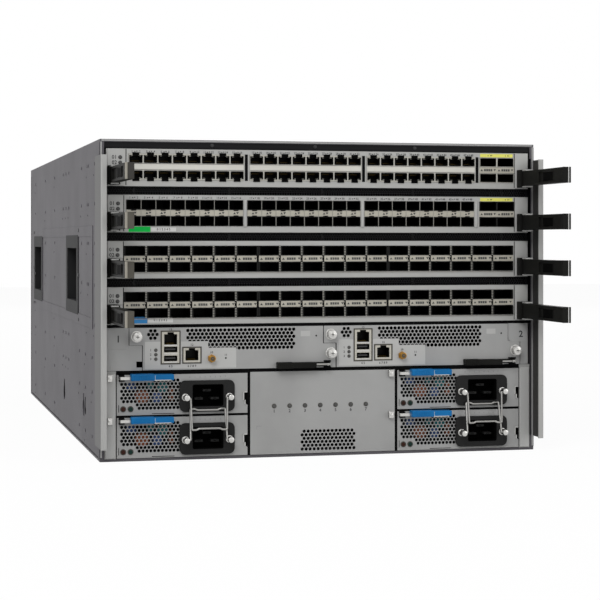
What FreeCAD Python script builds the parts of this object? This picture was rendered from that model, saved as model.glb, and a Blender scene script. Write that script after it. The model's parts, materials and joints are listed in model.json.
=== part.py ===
import FreeCAD, Part
import math
import os
import re
import Sketcher

# Modular chassis switch, seven rack units high: line cards above, two supervisors, four power supplies.
# Frame: +Z up, the face towards -Y, origin at the centre of the underside. Millimetres.

# Sizes that are set by themselves. "Behind" and "ahead" are distances from the face.
SIZES = {
    # common
    "gap": 0.3,                 # running clearance between neighbours
    "thin": 1.5,                # inner sheet metal
    "face": 2.0,                # front sheets
    "spare": 1.0,               # a cutting shape runs past the metal by this much
    "running": 0.06,            # radial clearance on pins
    "pin": 1.5,                 # radius of lever pins
    "lug": 1.3,                 # sheet of the lugs that hold them
    # chassis shell
    "chassis_width": 440.0,
    "chassis_depth": 777.0,
    "wall": 2.5,                # side panels
    "cover": 2.5,               # top cover and base pan
    "flange": 12.0,             # folded edges of both covers
    "cup_low": 145.6,
    "cup_tall": 60.0,
    "cup_long": 95.0,
    "cup_first": 194.0,         # front edge of the first cup, behind the face
    "cup_back": 74.0,           # rear edge of the second cup, ahead of the rear
    "cup_deep": 21.0,
    "cup_rim": 12.0,
    "cup_plate": 1.0,           # the rim stands proud of the side panel by its own sheet
    "keyhole": 9.0,
    "keyhole_up": 40.0,
    "keyhole_neck": 4.0,        # half the width of its upper slot
    "keyhole_rise": 14.4,
    "keyhole_first": 136.0,
    "keyhole_second": 328.0,
    # cable brackets ahead of the face
    "bracket_low": 14.0,
    "bracket_head": 16.0,       # below the top of the chassis
    "bracket_sheet": 2.0,
    "bracket_reach": 24.0,
    "bracket_lap": 24.0,
    "bracket_lip": 5.5,
    # lintel
    "lintel_tall": 5.9,
    "lintel_deep": 16.0,
    "lintel_set": 1.0,
    # line cards
    "card_pitch": 44.3,
    "card_tall": 36.0,
    "card_inset": 6.0,          # face to the outside of the chassis
    "card_deep": 430.0,
    "tray_inset": 11.0,         # tray to the cups
    "tray_rise": 1.9,
    "tray_wall": 26.0,
    "apron_deep": 52.0,         # wide part of the tray, under the cages
    "apron_out": 14.0,
    "intake_set": 3.0,          # air intake sheet behind the face
    "intake_lap": 3.0,
    "intake_bar": 2.0,
    "intake_rim": 1.0,
    "guide_ledge": 12.0,
    "guide_out": 4.0,
    "guide_set": 2.0,
    # port cages
    "row_low": 6.0,
    "row_high": 21.8,
    "row_tall": 9.6,
    "nose": 0.6,                # cages stand this far out of the face
    "cage_gap": 0.15,
    "cage_rim": 1.0,
    "cage_back": 2.0,
    "group_pitch": 118.5,
    "copper_margin": 21.4,
    "copper_pitch": 14.15,
    "copper_wide": 11.7,
    "copper_tall": 6.7,
    "copper_deep": 16.0,
    "tab_wide": 6.2,
    "tab_tall": 1.9,
    "tab_deep": 5.0,
    "fibre_margin": 19.2,
    "fibre_pitch": 14.3,
    "fibre_wide": 13.0,
    "uplink_margin": 51.8,
    "uplink_pitch": 18.5,
    "uplink_wide": 17.0,
    "wide_margin": 16.9,
    "wide_pitch": 21.97,
    "wide_wide": 18.8,
    "cage_tall": 8.4,
    "cage_deep": 42.0,
    # line card levers
    "lever_inset": 6.0,
    "lever_thick": 8.4,
    "lever_tall": 14.7,
    "lever_up": 2.8,
    "lever_root": 16.0,
    "lever_tip": 118.0,
    "lever_corner": 2.4,
    "lever_slant": 6.0,
    "lever_nib": 2.5,
    "lever_lug": 3.6,
    "channel_deep": 1.8,
    "channel_rim": 2.2,
    "channel_start": 8.0,
    "channel_end": 14.0,
    "grip_deep": 1.6,
    "grip_rim": 2.4,
    "grip_near": 56.0,
    "grip_far": 84.0,
    # supervisors
    "super_shift": 6.7,         # the pair sits right of centre
    "super_pitch": 192.5,
    "super_wide": 192.1,
    "super_step": 12.8,
    "super_tall": 41.2,
    "super_mid": 24.0,
    "super_floor": 2.0,
    "vent_left": 55.3,          # large vent, from the left of the upper face and down from its top
    "vent_second": 77.0,
    "vent_third": 105.0,
    "vent_right": 165.0,
    "vent_top": 1.2,
    "vent_drop_one": 12.2,
    "vent_drop_two": 20.0,
    "vent_drop_three": 22.0,
    "small_vent_left": 17.5,
    "small_vent_right": 26.0,
    "small_vent_top": 1.5,
    "small_vent_drop": 11.6,
    "stack_left": 31.2,         # one network jack over two serial sockets
    "stack_right": 49.2,
    "stack_low": 6.3,
    "stack_high": 37.4,
    "single_left": 52.2,
    "single_right": 69.8,
    "single_low": 6.7,
    "single_high": 21.6,
    "jack_wide": 12.6,
    "jack_tall": 10.0,
    "serial_wide": 13.0,
    "serial_tall": 5.4,
    "stack_jack_up": 24.6,
    "serial_high_up": 17.2,
    "serial_low_up": 8.6,
    "single_jack_up": 9.0,
    "socket_block": 22.0,
    "filler_notch": 5.5,
    "filler_notch_low": 2.9,
    "filler_notch_high": 8.7,
    "stud_across": 80.3,
    "stud_up": 10.7,
    "stud": 3.0,
    "stud_bore": 2.1,
    "stud_out": 6.5,
    "stud_deep": 5.5,
    "eject_up": 1.6,
    "eject_tall": 4.0,
    "eject_pin": 3.4,           # right of the upper face
    "eject_eye": 3.2,
    "eject_lug": 3.0,
    "eject_lug_out": 6.5,
    "eject_end": 2.6,
    "eject_back": 0.6,
    "eject_front": 5.6,
    "eject_grip_start": 12.0,
    "eject_grip_end": 51.0,
    "eject_slope": 2.0,
    "eject_grip": 9.4,
    # power supplies
    "column": 15.95,            # chassis side to the first supply
    "power_wide": 128.1,
    "power_tall": 39.2,
    "split": 1.3,               # sheet between the two rows of supplies
    "power_deep": 430.0,
    "recess_left": 3.8,         # recess behind the drilled vent, stepped round two lamps and the latch
    "recess_lamps": 16.6,
    "recess_latch": 8.5,
    "recess_low": 4.6,
    "recess_mid": 9.6,
    "recess_lug": 32.6,
    "recess_high": 35.4,
    "recess_deep": 8.0,
    "notch_wide": 4.2,
    "notch_deep": 3.0,
    "notch_low": 10.0,
    "notch_high": 20.5,
    "inlet_right": 13.4,
    "inlet_wide": 53.9,
    "inlet_low": 2.5,
    "inlet_tall": 30.2,
    "inlet_round": 5.5,
    "inlet_lap": 3.0,           # flange over the panel
    "inlet_deep": 16.0,
    "inlet_back": 2.0,
    "inlet_out": 2.5,
    "socket_shift": 0.75,       # socket right of the inlet's middle
    "socket_lift": 0.5,
    "socket_wide": 30.5,
    "socket_tall": 21.4,
    "blade_wide": 8.0,
    "blade_tall": 2.0,
    "blade_set": 4.0,
    "blade_up": 4.5,
    "blade_down": 3.5,
    "blade_apart": 8.0,
    "bail_up": 16.7,
    "bail_out": 11.5,
    "bail_long": 31.0,
    "bail_wire": 1.0,
    "bail_end": 1.5,            # wire beyond the middle of each boss
    "bail_inward": 4.1,         # boss to the leg of the bail
    "bail_ease": 1.2,           # corner run, in wire radii
    "bump": 2.0,                # raised middle of the bail
    "bump_start": 5.2,          # leg to the foot of the raised middle
    "bump_run": 2.0,
    "bail_hang": 6.0,           # an upper bail hangs out from the panel
    "bail_lean": 13.0,          # a lower one stands back against it
    "boss_inset": 5.35,
    "boss": 2.8,
    "boss_end": 2.6,            # boss beyond the wire
    "latch_low": 34.6,
    "latch_tall": 2.8,
    "latch_hinge": 4.5,
    "latch_eye": 2.9,
    "latch_pin": 1.2,
    "latch_end": 2.6,
    "latch_lug_out": 5.2,
    "latch_back": 0.5,
    "latch_front": 5.3,
    "latch_corner": 1.2,
    "latch_clear": 7.0,         # latch to the inlet
    "latch_grip_left": 13.0,
    "latch_grip_rise": 7.5,
    "latch_grip_out": 9.8,
    "latch_grip_slope": 2.5,
    "latch_grip_under": 0.8,
    "latch_grip_over": 1.5,
    # status panel
    "status_deep": 24.0,
    "slot_shift": 4.9,
    "slot_wide": 10.0,
    "slot_pitch": 11.2,
    "slot_low": 5.9,
    "slot_tall": 19.9,
    # inner frame
    "shelf_room": 1.1,
    "shelf_sheet": 2.4,
    "bay_deep": 440.0,
    "post_wide": 12.0,
    "post_set": 30.0,
    # rear
    "board_sheet": 3.0,
    "board_pitch": 66.0,
    "board_start": 15.0,        # bays to the boards
    "board_room": 60.0,         # boards to the fan trays
    "board_drop": 8.0,
    "plug_wide": 11.0,
    "plug_deep": 18.0,
    "plug_up": 6.0,
    "plug_tall": 20.0,
    "rear_sheet": 2.0,
    "fan_low": 12.0,
    "fan_bar": 5.5,             # rear frame between two fan trays
    "fan_deep": 70.0,
    "fan_wall": 8.9,            # least metal beside a bore
    "tray_out": 1.0,
    "motor_set": 12.0,
    "motor_half": 16.0,
    "motor_deep": 8.0,
    "strut": 6.0,
    "strut_deep": 5.0,
    "shaft": 3.0,
    "tip_gap": 2.0,
    "rotor_hub": 22.0,
    "rotor_deep": 28.0,
    "blade_chord": 30.0,
    "blade_sheet": 2.0,
    "blade_turn": 35.0,
    "handle_half": 35.0,
    "handle_leg": 6.0,
    "handle_out": 14.0,
    "handle_root": 0.5,
    "handle_thick": 4.0,
    "handle_rise": 4.0,
    "handle_corner": 1.5,
}

# Places that follow from the sizes, each written in terms of what stands before it.
TIES = {
    "power_pitch": "power_tall + 2 * gap + split",
    "shelf_low": "cover + gap + power_pitch + power_tall + shelf_room",
    "super_low": "shelf_low + shelf_sheet + gap",
    "card_first": "super_low + super_tall + shelf_sheet + 2 * gap",
    "lintel_low": "card_first + 3 * card_pitch + card_tall + 2 * gap",
    "chassis_height": "lintel_low + lintel_tall + cover",
    "half_width": "chassis_width / 2",
    "inside": "half_width - wall",
    "card_half": "half_width - card_inset",
    "tray_half": "half_width - cup_deep - tray_inset",
    "lever_centre": "card_half - lever_inset",
    "lever_half": "lever_thick / 2",
    "intake_tall": "card_pitch - card_tall - gap",
    "intake_pitch": "(2 * tray_half - intake_bar) / 4",
    "copper_start": "copper_margin - card_half",
    "fibre_start": "fibre_margin - card_half",
    "uplink_start": "card_half - uplink_margin",
    "wide_start": "wide_margin - card_half",
    "super_left": "super_shift - (super_pitch + super_wide + super_step) / 2",
    "power_offset": "half_width - column - power_wide / 2",
    "inlet_left": "power_wide - inlet_right - inlet_wide",
    "latch_reach": "inlet_left - latch_clear",
    "status_half": "power_offset - power_wide / 2 - 3 * gap - thin",
    "bay_outside": "power_offset + power_wide / 2 + 2 * gap",
    "fan_pitch": "(chassis_width - 2 * wall - 2 * thin - gap) / 3",
    "fan_wide": "fan_pitch - fan_bar",
    "fan_tall": "chassis_height - 2 * fan_low",
    "fan_bore": "fan_wide / 2 - gap - fan_wall",
    "rotor_tip": "fan_bore - tip_gap",
}

doc = FreeCAD.newDocument("modular_chassis_switch")
sheet = doc.addObject("Spreadsheet::Sheet", "sizes")
for row, (alias, entry) in enumerate((SIZES | TIES).items(), 1):
    sheet.set(f"A{row}", alias)
    sheet.set(f"B{row}", str(entry) if alias in SIZES else f"={entry}")
    sheet.setAlias(f"B{row}", alias)
doc.recompute()
WORD = re.compile(r"[a-z][a-z0-9_]*")
PIN_SIDES = 12              # pins and their bores repeat by the dozen, so they are drawn in flats
BOSS_SIDES = 8              # and so are the bosses of the inlets
FAN_SIDES = 24
BLADES = 5
NODES = []


def size(name):
    """The number that the sheet holds under a name."""
    return float(sheet.get(name))


def bound(text):
    """The expression with every name of the sheet written in full."""
    return WORD.sub(lambda word: ("sizes." if word.group() in SIZES | TIES else "") + word.group(), str(text))


def bind(thing, prop, text):
    thing.setExpression(prop, bound(text))


def front(text="0"):
    """Y of a point that far ahead of the face."""
    return f"(-chassis_depth / 2 - ({text}))"


def rear(text="0"):
    """Y of a point that far inside the rear plane."""
    return f"(chassis_depth / 2 - ({text}))"


def span(side, low, high):
    """A range across the chassis, mirrored on the left where side is -1."""
    return (f"({low})", f"({high})") if side > 0 else (f"-({high})", f"-({low})")


def about(middle, half):
    """The range that reaches half to either side of a middle."""
    return f"({middle}) - ({half})", f"({middle}) + ({half})"


def box(name, across, along, up):
    """A block between two limits on each axis."""
    block = doc.addObject("Part::Box", name)
    for prop, axis, (low, high) in zip(("Length", "Width", "Height"), "xyz", (across, along, up)):
        bind(block, prop, f"({high}) - ({low})")
        bind(block, "Placement.Base." + axis, low)
    return block


TURNS = {"x": FreeCAD.Rotation(FreeCAD.Vector(0, 1, 0), 90),
         "y": FreeCAD.Rotation(FreeCAD.Vector(1, 0, 0), -90),
         "z": FreeCAD.Rotation()}


def placed(round_form, axis, start, length):
    """Stand a round form on start, running along +x, +y or +z."""
    round_form.Placement.Rotation = TURNS[axis]
    bind(round_form, "Height", length)
    for letter, text in zip("xyz", start):
        bind(round_form, "Placement.Base." + letter, text)
    return round_form


def rod(name, axis, radius, start, length):
    """A true cylinder."""
    post = doc.addObject("Part::Cylinder", name)
    bind(post, "Radius", radius)
    return placed(post, axis, start, length)


def pin(name, axis, radius, start, length, sides=PIN_SIDES):
    """A pin in flats, whose corners lie on the radius."""
    post = doc.addObject("Part::Prism", name)
    post.Polygon = sides
    bind(post, "Circumradius", radius)
    return placed(post, axis, start, length)


def bore(name, axis, radius, start, length, sides=PIN_SIDES):
    """The hole for a pin in flats: its flats lie on the radius, so that the pin turns freely in it."""
    return pin(name, axis, f"({radius}) / cos(180 / {sides})", start, length, sides)


def fuse(name, pieces):
    joined = doc.addObject("Part::MultiFuse", name)
    joined.Shapes = pieces
    joined.Refine = True
    return joined


def group(name, pieces):
    """Separate solids kept together."""
    kept = doc.addObject("Part::Compound", name)
    kept.Links = pieces
    return kept


def cut(name, base, tools):
    left = doc.addObject("Part::Cut", name)
    left.Base = base
    left.Tool = tools[0] if len(tools) == 1 else group(name + "_tools", tools)
    left.Refine = False
    return left


def node(piece, label):
    """Name a finished sub-part, which is also its file's name."""
    piece.Label = label
    NODES.append(piece)
    return piece


PLANES = {"XY": "XY_Plane", "XZ": "XZ_Plane", "YZ": "YZ_Plane"}


def stands_on(edge, normal, places):
    """Whether a straight edge runs along the normal through one of the places."""
    straight = len(edge.Vertexes) == 2 and edge.tangentAt(edge.FirstParameter).cross(normal).Length < 1e-6
    return straight and any(edge.distToShape(Part.Vertex(place))[0] < 1e-4 for place in places)


def prism(name, plane, points, low, high, rounded=None):
    """A pad of an outline whose corners are bound to the sheet.

    The outline lies across the plane's normal, and the pad runs from low to high along the world axis.
    rounded gives a radius and the numbers of the corners that it rounds.
    """
    body = doc.addObject("PartDesign::Body", name)
    sketch = body.newObject("Sketcher::SketchObject", name + "_outline")
    origin = next(item for item in body.Origin.OriginFeatures if item.Role == PLANES[plane])
    sketch.AttachmentSupport = [(origin, "")]
    sketch.MapMode = "FlatFace"
    start = f"-({high})" if plane == "XZ" else low
    bind(sketch, "AttachmentOffset.Base.z", start)
    count = len(points)
    ring = [FreeCAD.Vector(math.cos(2 * math.pi * k / count), math.sin(2 * math.pi * k / count), 0)
            for k in range(count)]
    for k in range(count):
        sketch.addGeometry(Part.LineSegment(ring[k], ring[(k + 1) % count]), False)
    for k in range(count):
        sketch.addConstraint(Sketcher.Constraint("Coincident", k, 2, (k + 1) % count, 1))
    for k, (first, second) in enumerate(points):
        for kind, text, value in (("DistanceX", first, ring[k].x), ("DistanceY", second, ring[k].y)):
            index = sketch.addConstraint(Sketcher.Constraint(kind, -1, 1, k, 1, value))
            sketch.setExpression(f"Constraints[{index}]", bound(text))
    pad = body.newObject("PartDesign::Pad", name + "_pad")
    pad.Profile = sketch
    bind(pad, "Length", f"({high}) - ({low})")
    body.Tip = pad
    if rounded:
        radius, corners = rounded
        doc.recompute()
        places = [sketch.Placement.multVec(sketch.Geometry[k].StartPoint) for k in corners]
        normal = sketch.Placement.Rotation.multVec(FreeCAD.Vector(0, 0, 1))
        picked = [f"Edge{number}" for number, edge in enumerate(pad.Shape.Edges, 1)
                  if stands_on(edge, normal, places)]
        fillet = body.newObject("PartDesign::Fillet", name + "_rounds")
        fillet.Base = (pad, picked)
        bind(fillet, "Radius", radius)
        body.Tip = fillet
    return body


def side_panel(side, word):
    """A side panel with two hand holds and two keyholes; returns the two cups behind the hand holds."""
    through = span(side, "half_width - 2 * wall", "half_width + wall")
    panel = box(f"panel_{word}", span(side, "inside", "half_width"), (front(), rear()),
                ("0", "chassis_height"))
    holes, cups = [], []
    up = ("cup_low", "cup_low + cup_tall")
    first = (front("-cup_first"), front("-cup_first - cup_long"))
    for along in (first, (rear("cup_back + cup_long"), rear("cup_back"))):
        holes.append(box(f"hand_hole_{word}", through, along, up))
        rim = box("cup_rim_plate", span(side, "half_width", "half_width + cup_plate"),
                  (f"{along[0]} - cup_rim", f"{along[1]} + cup_rim"),
                  (f"{up[0]} - cup_rim", f"{up[1]} + cup_rim"))
        shell = box("cup_shell", span(side, "half_width - cup_deep - thin", "half_width"),
                    (f"{along[0]} + gap", f"{along[1]} - gap"), (f"{up[0]} + gap", f"{up[1]} - gap"))
        hollow = box("cup_hollow", span(side, "half_width - cup_deep", "half_width + 2 * cup_plate"),
                     (f"{along[0]} + gap + thin", f"{along[1]} - gap - thin"),
                     (f"{up[0]} + gap + thin", f"{up[1]} - gap - thin"))
        cups.append(cut("cup", fuse("cup_blank", [rim, shell]), [hollow]))
    for place in ("keyhole_first", "keyhole_second"):
        eye = (through[0], front(f"-{place}"), "keyhole_up")
        holes.append(rod("keyhole_round", "x", "keyhole", eye, "3 * wall"))
        holes.append(box("keyhole_slot", through, about(eye[1], "keyhole_neck"),
                         ("keyhole_up", "keyhole_up + keyhole_rise")))
    node(cut(f"side_{word}", panel, holes), f"side_panel_{word}")
    return cups


def chassis_shell():
    """Side panels, the cups behind their hand holds, the folded covers, the cable brackets and the lintel."""
    node(group("cup_set", side_panel(-1, "left") + side_panel(1, "right")), "handle_cups")

    edge, step = "chassis_height - cover - flange", "(inside - thin)"
    ceiling = [("-inside", "chassis_height"), ("inside", "chassis_height"), ("inside", edge), (step, edge),
               (step, "chassis_height - cover"), (f"-{step}", "chassis_height - cover"), (f"-{step}", edge),
               ("-inside", edge)]
    node(prism("cover_sheet", "XZ", ceiling, front(), rear()), "top_cover")
    floor = [(across, f"chassis_height - ({up})") for across, up in ceiling]
    node(prism("pan_sheet", "XZ", floor, front(), rear()), "base_pan")

    brackets = []
    for side in (-1, 1):
        outer, lip = "(half_width + bracket_sheet)", "half_width + bracket_sheet - bracket_lip"
        inner_face, tip = front("bracket_reach - bracket_sheet"), front("bracket_reach")
        corners = [("half_width", front("-bracket_lap")), ("half_width", inner_face), (lip, inner_face),
                   (lip, tip), (outer, tip), (outer, front("-bracket_lap"))]
        points = [(f"{side} * ({across})", along) for across, along in corners]
        brackets.append(prism("bracket", "XY", points, "bracket_low", "chassis_height - bracket_head",
                              ("bracket_sheet", [4])))
    node(group("bracket_pair", brackets), "front_brackets")

    ahead, behind = front("-lintel_set"), front("-lintel_set - lintel_deep")
    lintel = [(ahead, "chassis_height - cover"), (ahead, "lintel_low"), (behind, "lintel_low"),
              (behind, "lintel_low + thin"), (front("-lintel_set - thin"), "lintel_low + thin"),
              (front("-lintel_set - thin"), "chassis_height - cover")]
    node(prism("lintel_angle", "YZ", lintel, "gap - inside + thin", "inside - thin - gap"), "front_lintel")


def bay_frame():
    """The two shelves, the walls of the supply bays, the light columns beside them and the shelf posts."""
    behind = (front("-face"), front("-bay_deep"))
    whole = ("-inside", "inside")
    upper = ("super_low + super_tall + gap", "card_first - gap")
    lower = ("shelf_low", "shelf_low + shelf_sheet")
    pieces = [box("card_shelf", whole, behind, upper), box("super_shelf", whole, behind, lower)]
    split = ("cover + 2 * gap + power_tall", "cover + power_pitch")
    for side in (-1, 1):
        wall_inner = span(side, "status_half + gap", "status_half + gap + thin")
        wall_outer = span(side, "bay_outside", "bay_outside + thin")
        column = span(side, "bay_outside", "inside - thin - gap")
        post = span(side, "inside - post_wide", "inside")
        pieces.append(box("bay_wall_inner", wall_inner, behind, ("cover", "shelf_low")))
        pieces.append(box("bay_wall_outer", wall_outer, (front(), behind[1]), ("cover", "shelf_low")))
        pieces.append(box("bay_column", column, (front(), behind[0]), ("cover", lower[1])))
        pieces.append(box("power_shelf", span(side, "status_half + gap", "bay_outside"), behind, split))
        pieces.append(box("shelf_post", post, (front("-post_set"), behind[1]), ("shelf_low", upper[1])))
    node(fuse("frame_parts", pieces), "bay_frame")


def card_guides():
    """A folded comb on each side, whose ledges carry the trays of the line cards."""
    guides = []
    out, comb_face = "tray_half + guide_out", "tray_half + guide_out - thin"
    shelf, ledge = "card_first - gap", "tray_half - guide_ledge"
    comb = [(out, "chassis_height - cover"), (out, shelf)]
    for slot in range(4):
        top = f"card_first + {slot} * card_pitch + tray_rise - gap"
        under = f"{top} - thin" if slot else shelf
        comb += [(comb_face, under), (ledge, under), (ledge, top), (comb_face, top)]
    comb.append((comb_face, "chassis_height - cover"))
    for side in (-1, 1):
        points = [(f"{side} * ({across})", height) for across, height in comb]
        guides.append(prism("guide", "XZ", points, front("-apron_deep - guide_set"), front("-bay_deep")))
    node(group("guide_pair", guides), "card_guides")


def face_plates():
    """The filler plates beside the supervisors and the status panel between the supplies."""
    low, middle, high = "super_low", "super_low + super_mid", "super_low + super_tall"
    start, end = "super_left - gap", "super_left + super_pitch + super_wide + gap"
    left_plate = [("-card_half", low), (f"{start} + super_step", low),
                  (f"{start} + super_step", f"{low} + filler_notch_low"),
                  (f"{start} + super_step - filler_notch", f"{low} + filler_notch_low"),
                  (f"{start} + super_step - filler_notch", f"{low} + filler_notch_high"),
                  (f"{start} + super_step", f"{low} + filler_notch_high"), (f"{start} + super_step", middle),
                  (start, middle), (start, high), ("-card_half", high)]
    right_plate = [(f"{end} + super_step", low), ("card_half", low), ("card_half", high), (end, high),
                   (end, middle), (f"{end} + super_step", middle)]
    plates = [prism("blank_left", "XZ", left_plate, front(), front("-face")),
              prism("blank_right", "XZ", right_plate, front(), front("-face"))]
    node(group("blank_plates", plates), "filler_plates")

    tub = box("status_blank", ("-status_half", "status_half"), (front(), front("-status_deep")),
              ("cover + gap", "shelf_low - gap"))
    hollow = box("status_hollow", ("thin - status_half", "status_half - thin"),
                 (front("-face"), front("-status_deep - spare")),
                 ("cover + gap + thin", "shelf_low - gap - thin"))
    holes = [box("vent_slot", about(f"slot_shift + ({slot - 2}) * slot_pitch", "slot_wide / 2"),
                 (front("spare"), front("-face - spare")), ("slot_low", "slot_low + slot_tall"))
             for slot in range(5)]
    node(cut("status_tub", tub, [hollow] + holes), "status_panel")


def pocket(kind, row, middle, level):
    """One port: its pocket and, in a copper jack, the recess for the plug's tab on the row's outer side."""
    wide, tall, deep, tabbed = kind
    outwards = 1 if row == "row_high" else -1
    if not tabbed:
        return [box("port", about(middle, f"{wide} / 2"), (front("nose + spare"), front(f"-{deep}")),
                    about(level, f"{tall} / 2"))]
    centre = f"{level} - {outwards} * tab_tall / 2"
    edges = (f"{centre} + {outwards} * {tall} / 2", f"{centre} + {outwards} * ({tall} / 2 + tab_tall)")
    return [box("port", about(middle, f"{wide} / 2"), (front("nose + spare"), front(f"-{deep}")),
                about(centre, f"{tall} / 2")),
            box("port_tab", about(middle, "tab_wide / 2"), (front("nose + spare"), front("-tab_deep")),
                edges if outwards > 0 else edges[::-1])]


def cage_block(base, start, columns, pitch, kind):
    """The cages of one group: a block with two noses through the face, and a pocket at every port."""
    end = f"{start} + {columns} * {pitch}"
    across = (f"{start} + cage_gap", f"{end} - cage_gap")
    parts = [box("cage_core", across, (front("-face - cage_gap"), front(f"-{kind[2]} - cage_back")),
                 (f"{base} + row_low - cage_rim", f"{base} + row_high + row_tall + cage_rim"))]
    pockets = []
    for row in ("row_low", "row_high"):
        low, high = f"{base} + {row}", f"{base} + {row} + row_tall"
        parts.append(box("cage_nose", across, (front("nose"), front("-face - cage_gap - cage_rim")),
                         (f"{low} + cage_gap", f"{high} - cage_gap")))
        for column in range(columns):
            pockets += pocket(kind, row, f"({start} + {column + 0.5} * {pitch})", f"({low} + row_tall / 2)")
    return cut("cage_block", fuse("cage_solid", parts), pockets)


# The kinds of port: width, height and depth of the pocket, and whether it has a recess for a tab.
COPPER = ("copper_wide", "copper_tall", "copper_deep", True)
FIBRE = ("fibre_wide", "cage_tall", "cage_deep", False)
UPLINK = ("uplink_wide", "cage_tall", "cage_deep", False)
WIDE = ("wide_wide", "cage_tall", "cage_deep", False)
# Each group of ports: where it starts, its columns and their pitch, and the kind of port.
LAST_PAIR = [("uplink_start", 2, "uplink_pitch", UPLINK)]
COPPER_CARD = [(f"(copper_start + {k} * group_pitch)", 8, "copper_pitch", COPPER) for k in range(3)]
FIBRE_CARD = [(f"(fibre_start + {k} * group_pitch)", 8, "fibre_pitch", FIBRE) for k in range(3)]
WIDE_CARD = [(f"(wide_start + {k} * 6 * wide_pitch)", 6, "wide_pitch", WIDE) for k in range(3)]
CARDS = {1: COPPER_CARD + LAST_PAIR, 2: FIBRE_CARD + LAST_PAIR, 3: WIDE_CARD, 4: WIDE_CARD}


def card_lever(card, side, base):
    """A channel lever on an upright pin, with a finger recess in its inner face."""
    inner, outer = "lever_centre - lever_half", "lever_centre + lever_half"
    root, tip = "lever_root - lever_half", "lever_tip"
    low, high = f"{base} + lever_up", f"{base} + lever_up + lever_tall"
    corners = [(inner, front(f"{root} + lever_corner")), (f"{inner} + lever_corner", front(root)),
               (f"{outer} - lever_corner", front(root)), (outer, front(f"{root} + lever_corner")),
               (outer, front(f"{tip} - lever_slant")), (f"{outer} - lever_nib", front(tip)),
               (inner, front(tip))]
    bar = prism("lever_bar", "XY", [(f"{side} * ({across})", along) for across, along in corners], low, high)
    eye = (f"{side} * lever_centre", front("lever_root"), f"{low} - spare")
    cuts = [bore("lever_bore", "z", "pin + running", eye, "lever_tall + 2 * spare"),
            box("lever_channel", span(side, f"{outer} - channel_deep", f"{outer} + spare"),
                (front(f"{tip} - channel_end"), front("lever_root + channel_start")),
                (f"{low} + channel_rim", f"{high} - channel_rim")),
            box("lever_grip", span(side, f"{inner} - spare", f"{inner} + grip_deep"),
                (front("grip_far"), front("grip_near")), (f"{low} + grip_rim", f"{high} - grip_rim"))]
    word = "left" if side < 0 else "right"
    node(cut(f"lever_{card}_{word}", bar, cuts), f"card_lever_{card}_{word}")


def lever_seat(side, base):
    """Two lugs on the card's face and the pin between them."""
    lower, upper = f"{base} + lever_up - gap - lug", f"{base} + lever_up + lever_tall + gap"
    across = span(side, *about("lever_centre", "lever_lug"))
    ahead = (front("lever_root + lever_lug"), front())
    parts = [box("card_lug", across, ahead, (low, f"{low} + lug")) for low in (lower, upper)]
    parts.append(pin("card_pin", "z", "pin", (f"{side} * lever_centre", front("lever_root"), lower),
                     "lever_tall + 2 * gap + 2 * lug"))
    return parts


def line_card(card):
    """A face with port windows on a folded tray, an air intake, its cages and a lever at each end."""
    base = f"(card_first + {4 - card} * card_pitch)"
    top = f"({base} + card_tall)"
    back, apron = front("-card_deep"), front("-apron_deep")
    floor = (f"{base} + tray_rise", f"{base} + tray_rise + thin")
    tray, wide = ("-tray_half", "tray_half"), about("0", "tray_half + apron_out")
    parts = [box("card_face", ("-card_half", "card_half"), (front(), front("-face")), (base, top)),
             box("card_floor", tray, (front("-face"), back), floor),
             box("card_apron", wide, (front("-face"), apron), floor)]
    for side in (-1, 1):
        parts.append(box("card_wall", span(side, "tray_half - thin", "tray_half"), (apron, back),
                         (floor[0], f"{floor[0]} + tray_wall")))
        parts += lever_seat(side, base)
    holes, cages = [], []
    through = (front("spare"), front("-face - spare"))
    for start, columns, pitch, kind in CARDS[card]:
        for row in ("row_low", "row_high"):
            holes.append(box("window", (start, f"{start} + {columns} * {pitch}"), through,
                             (f"{base} + {row}", f"{base} + {row} + row_tall")))
        cages.append(cage_block(base, start, columns, pitch, kind))
    if card > 1:
        sheet_back = front("-intake_set - thin")
        parts.append(box("intake_sheet", tray, (front("-intake_set"), sheet_back),
                         (f"{top} - intake_lap", f"{top} + intake_tall")))
        parts.append(box("intake_fold", tray, (front("-face"), sheet_back), (f"{top} - thin", top)))
        for k in range(4):
            edges = (f"intake_bar - tray_half + {k} * intake_pitch", f"-tray_half + {k + 1} * intake_pitch")
            holes.append(box("intake_window", edges, (front(), front("-intake_set - 2 * thin")),
                             (f"{top} + intake_rim", f"{top} + intake_tall - intake_rim")))
    node(cut(f"card_{card}", fuse(f"card_{card}_sheet", parts), holes), f"line_card_{card}")
    node(group(f"cages_{card}", cages), f"port_cages_{card}")
    for side in (-1, 1):
        card_lever(card, side, base)


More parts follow.
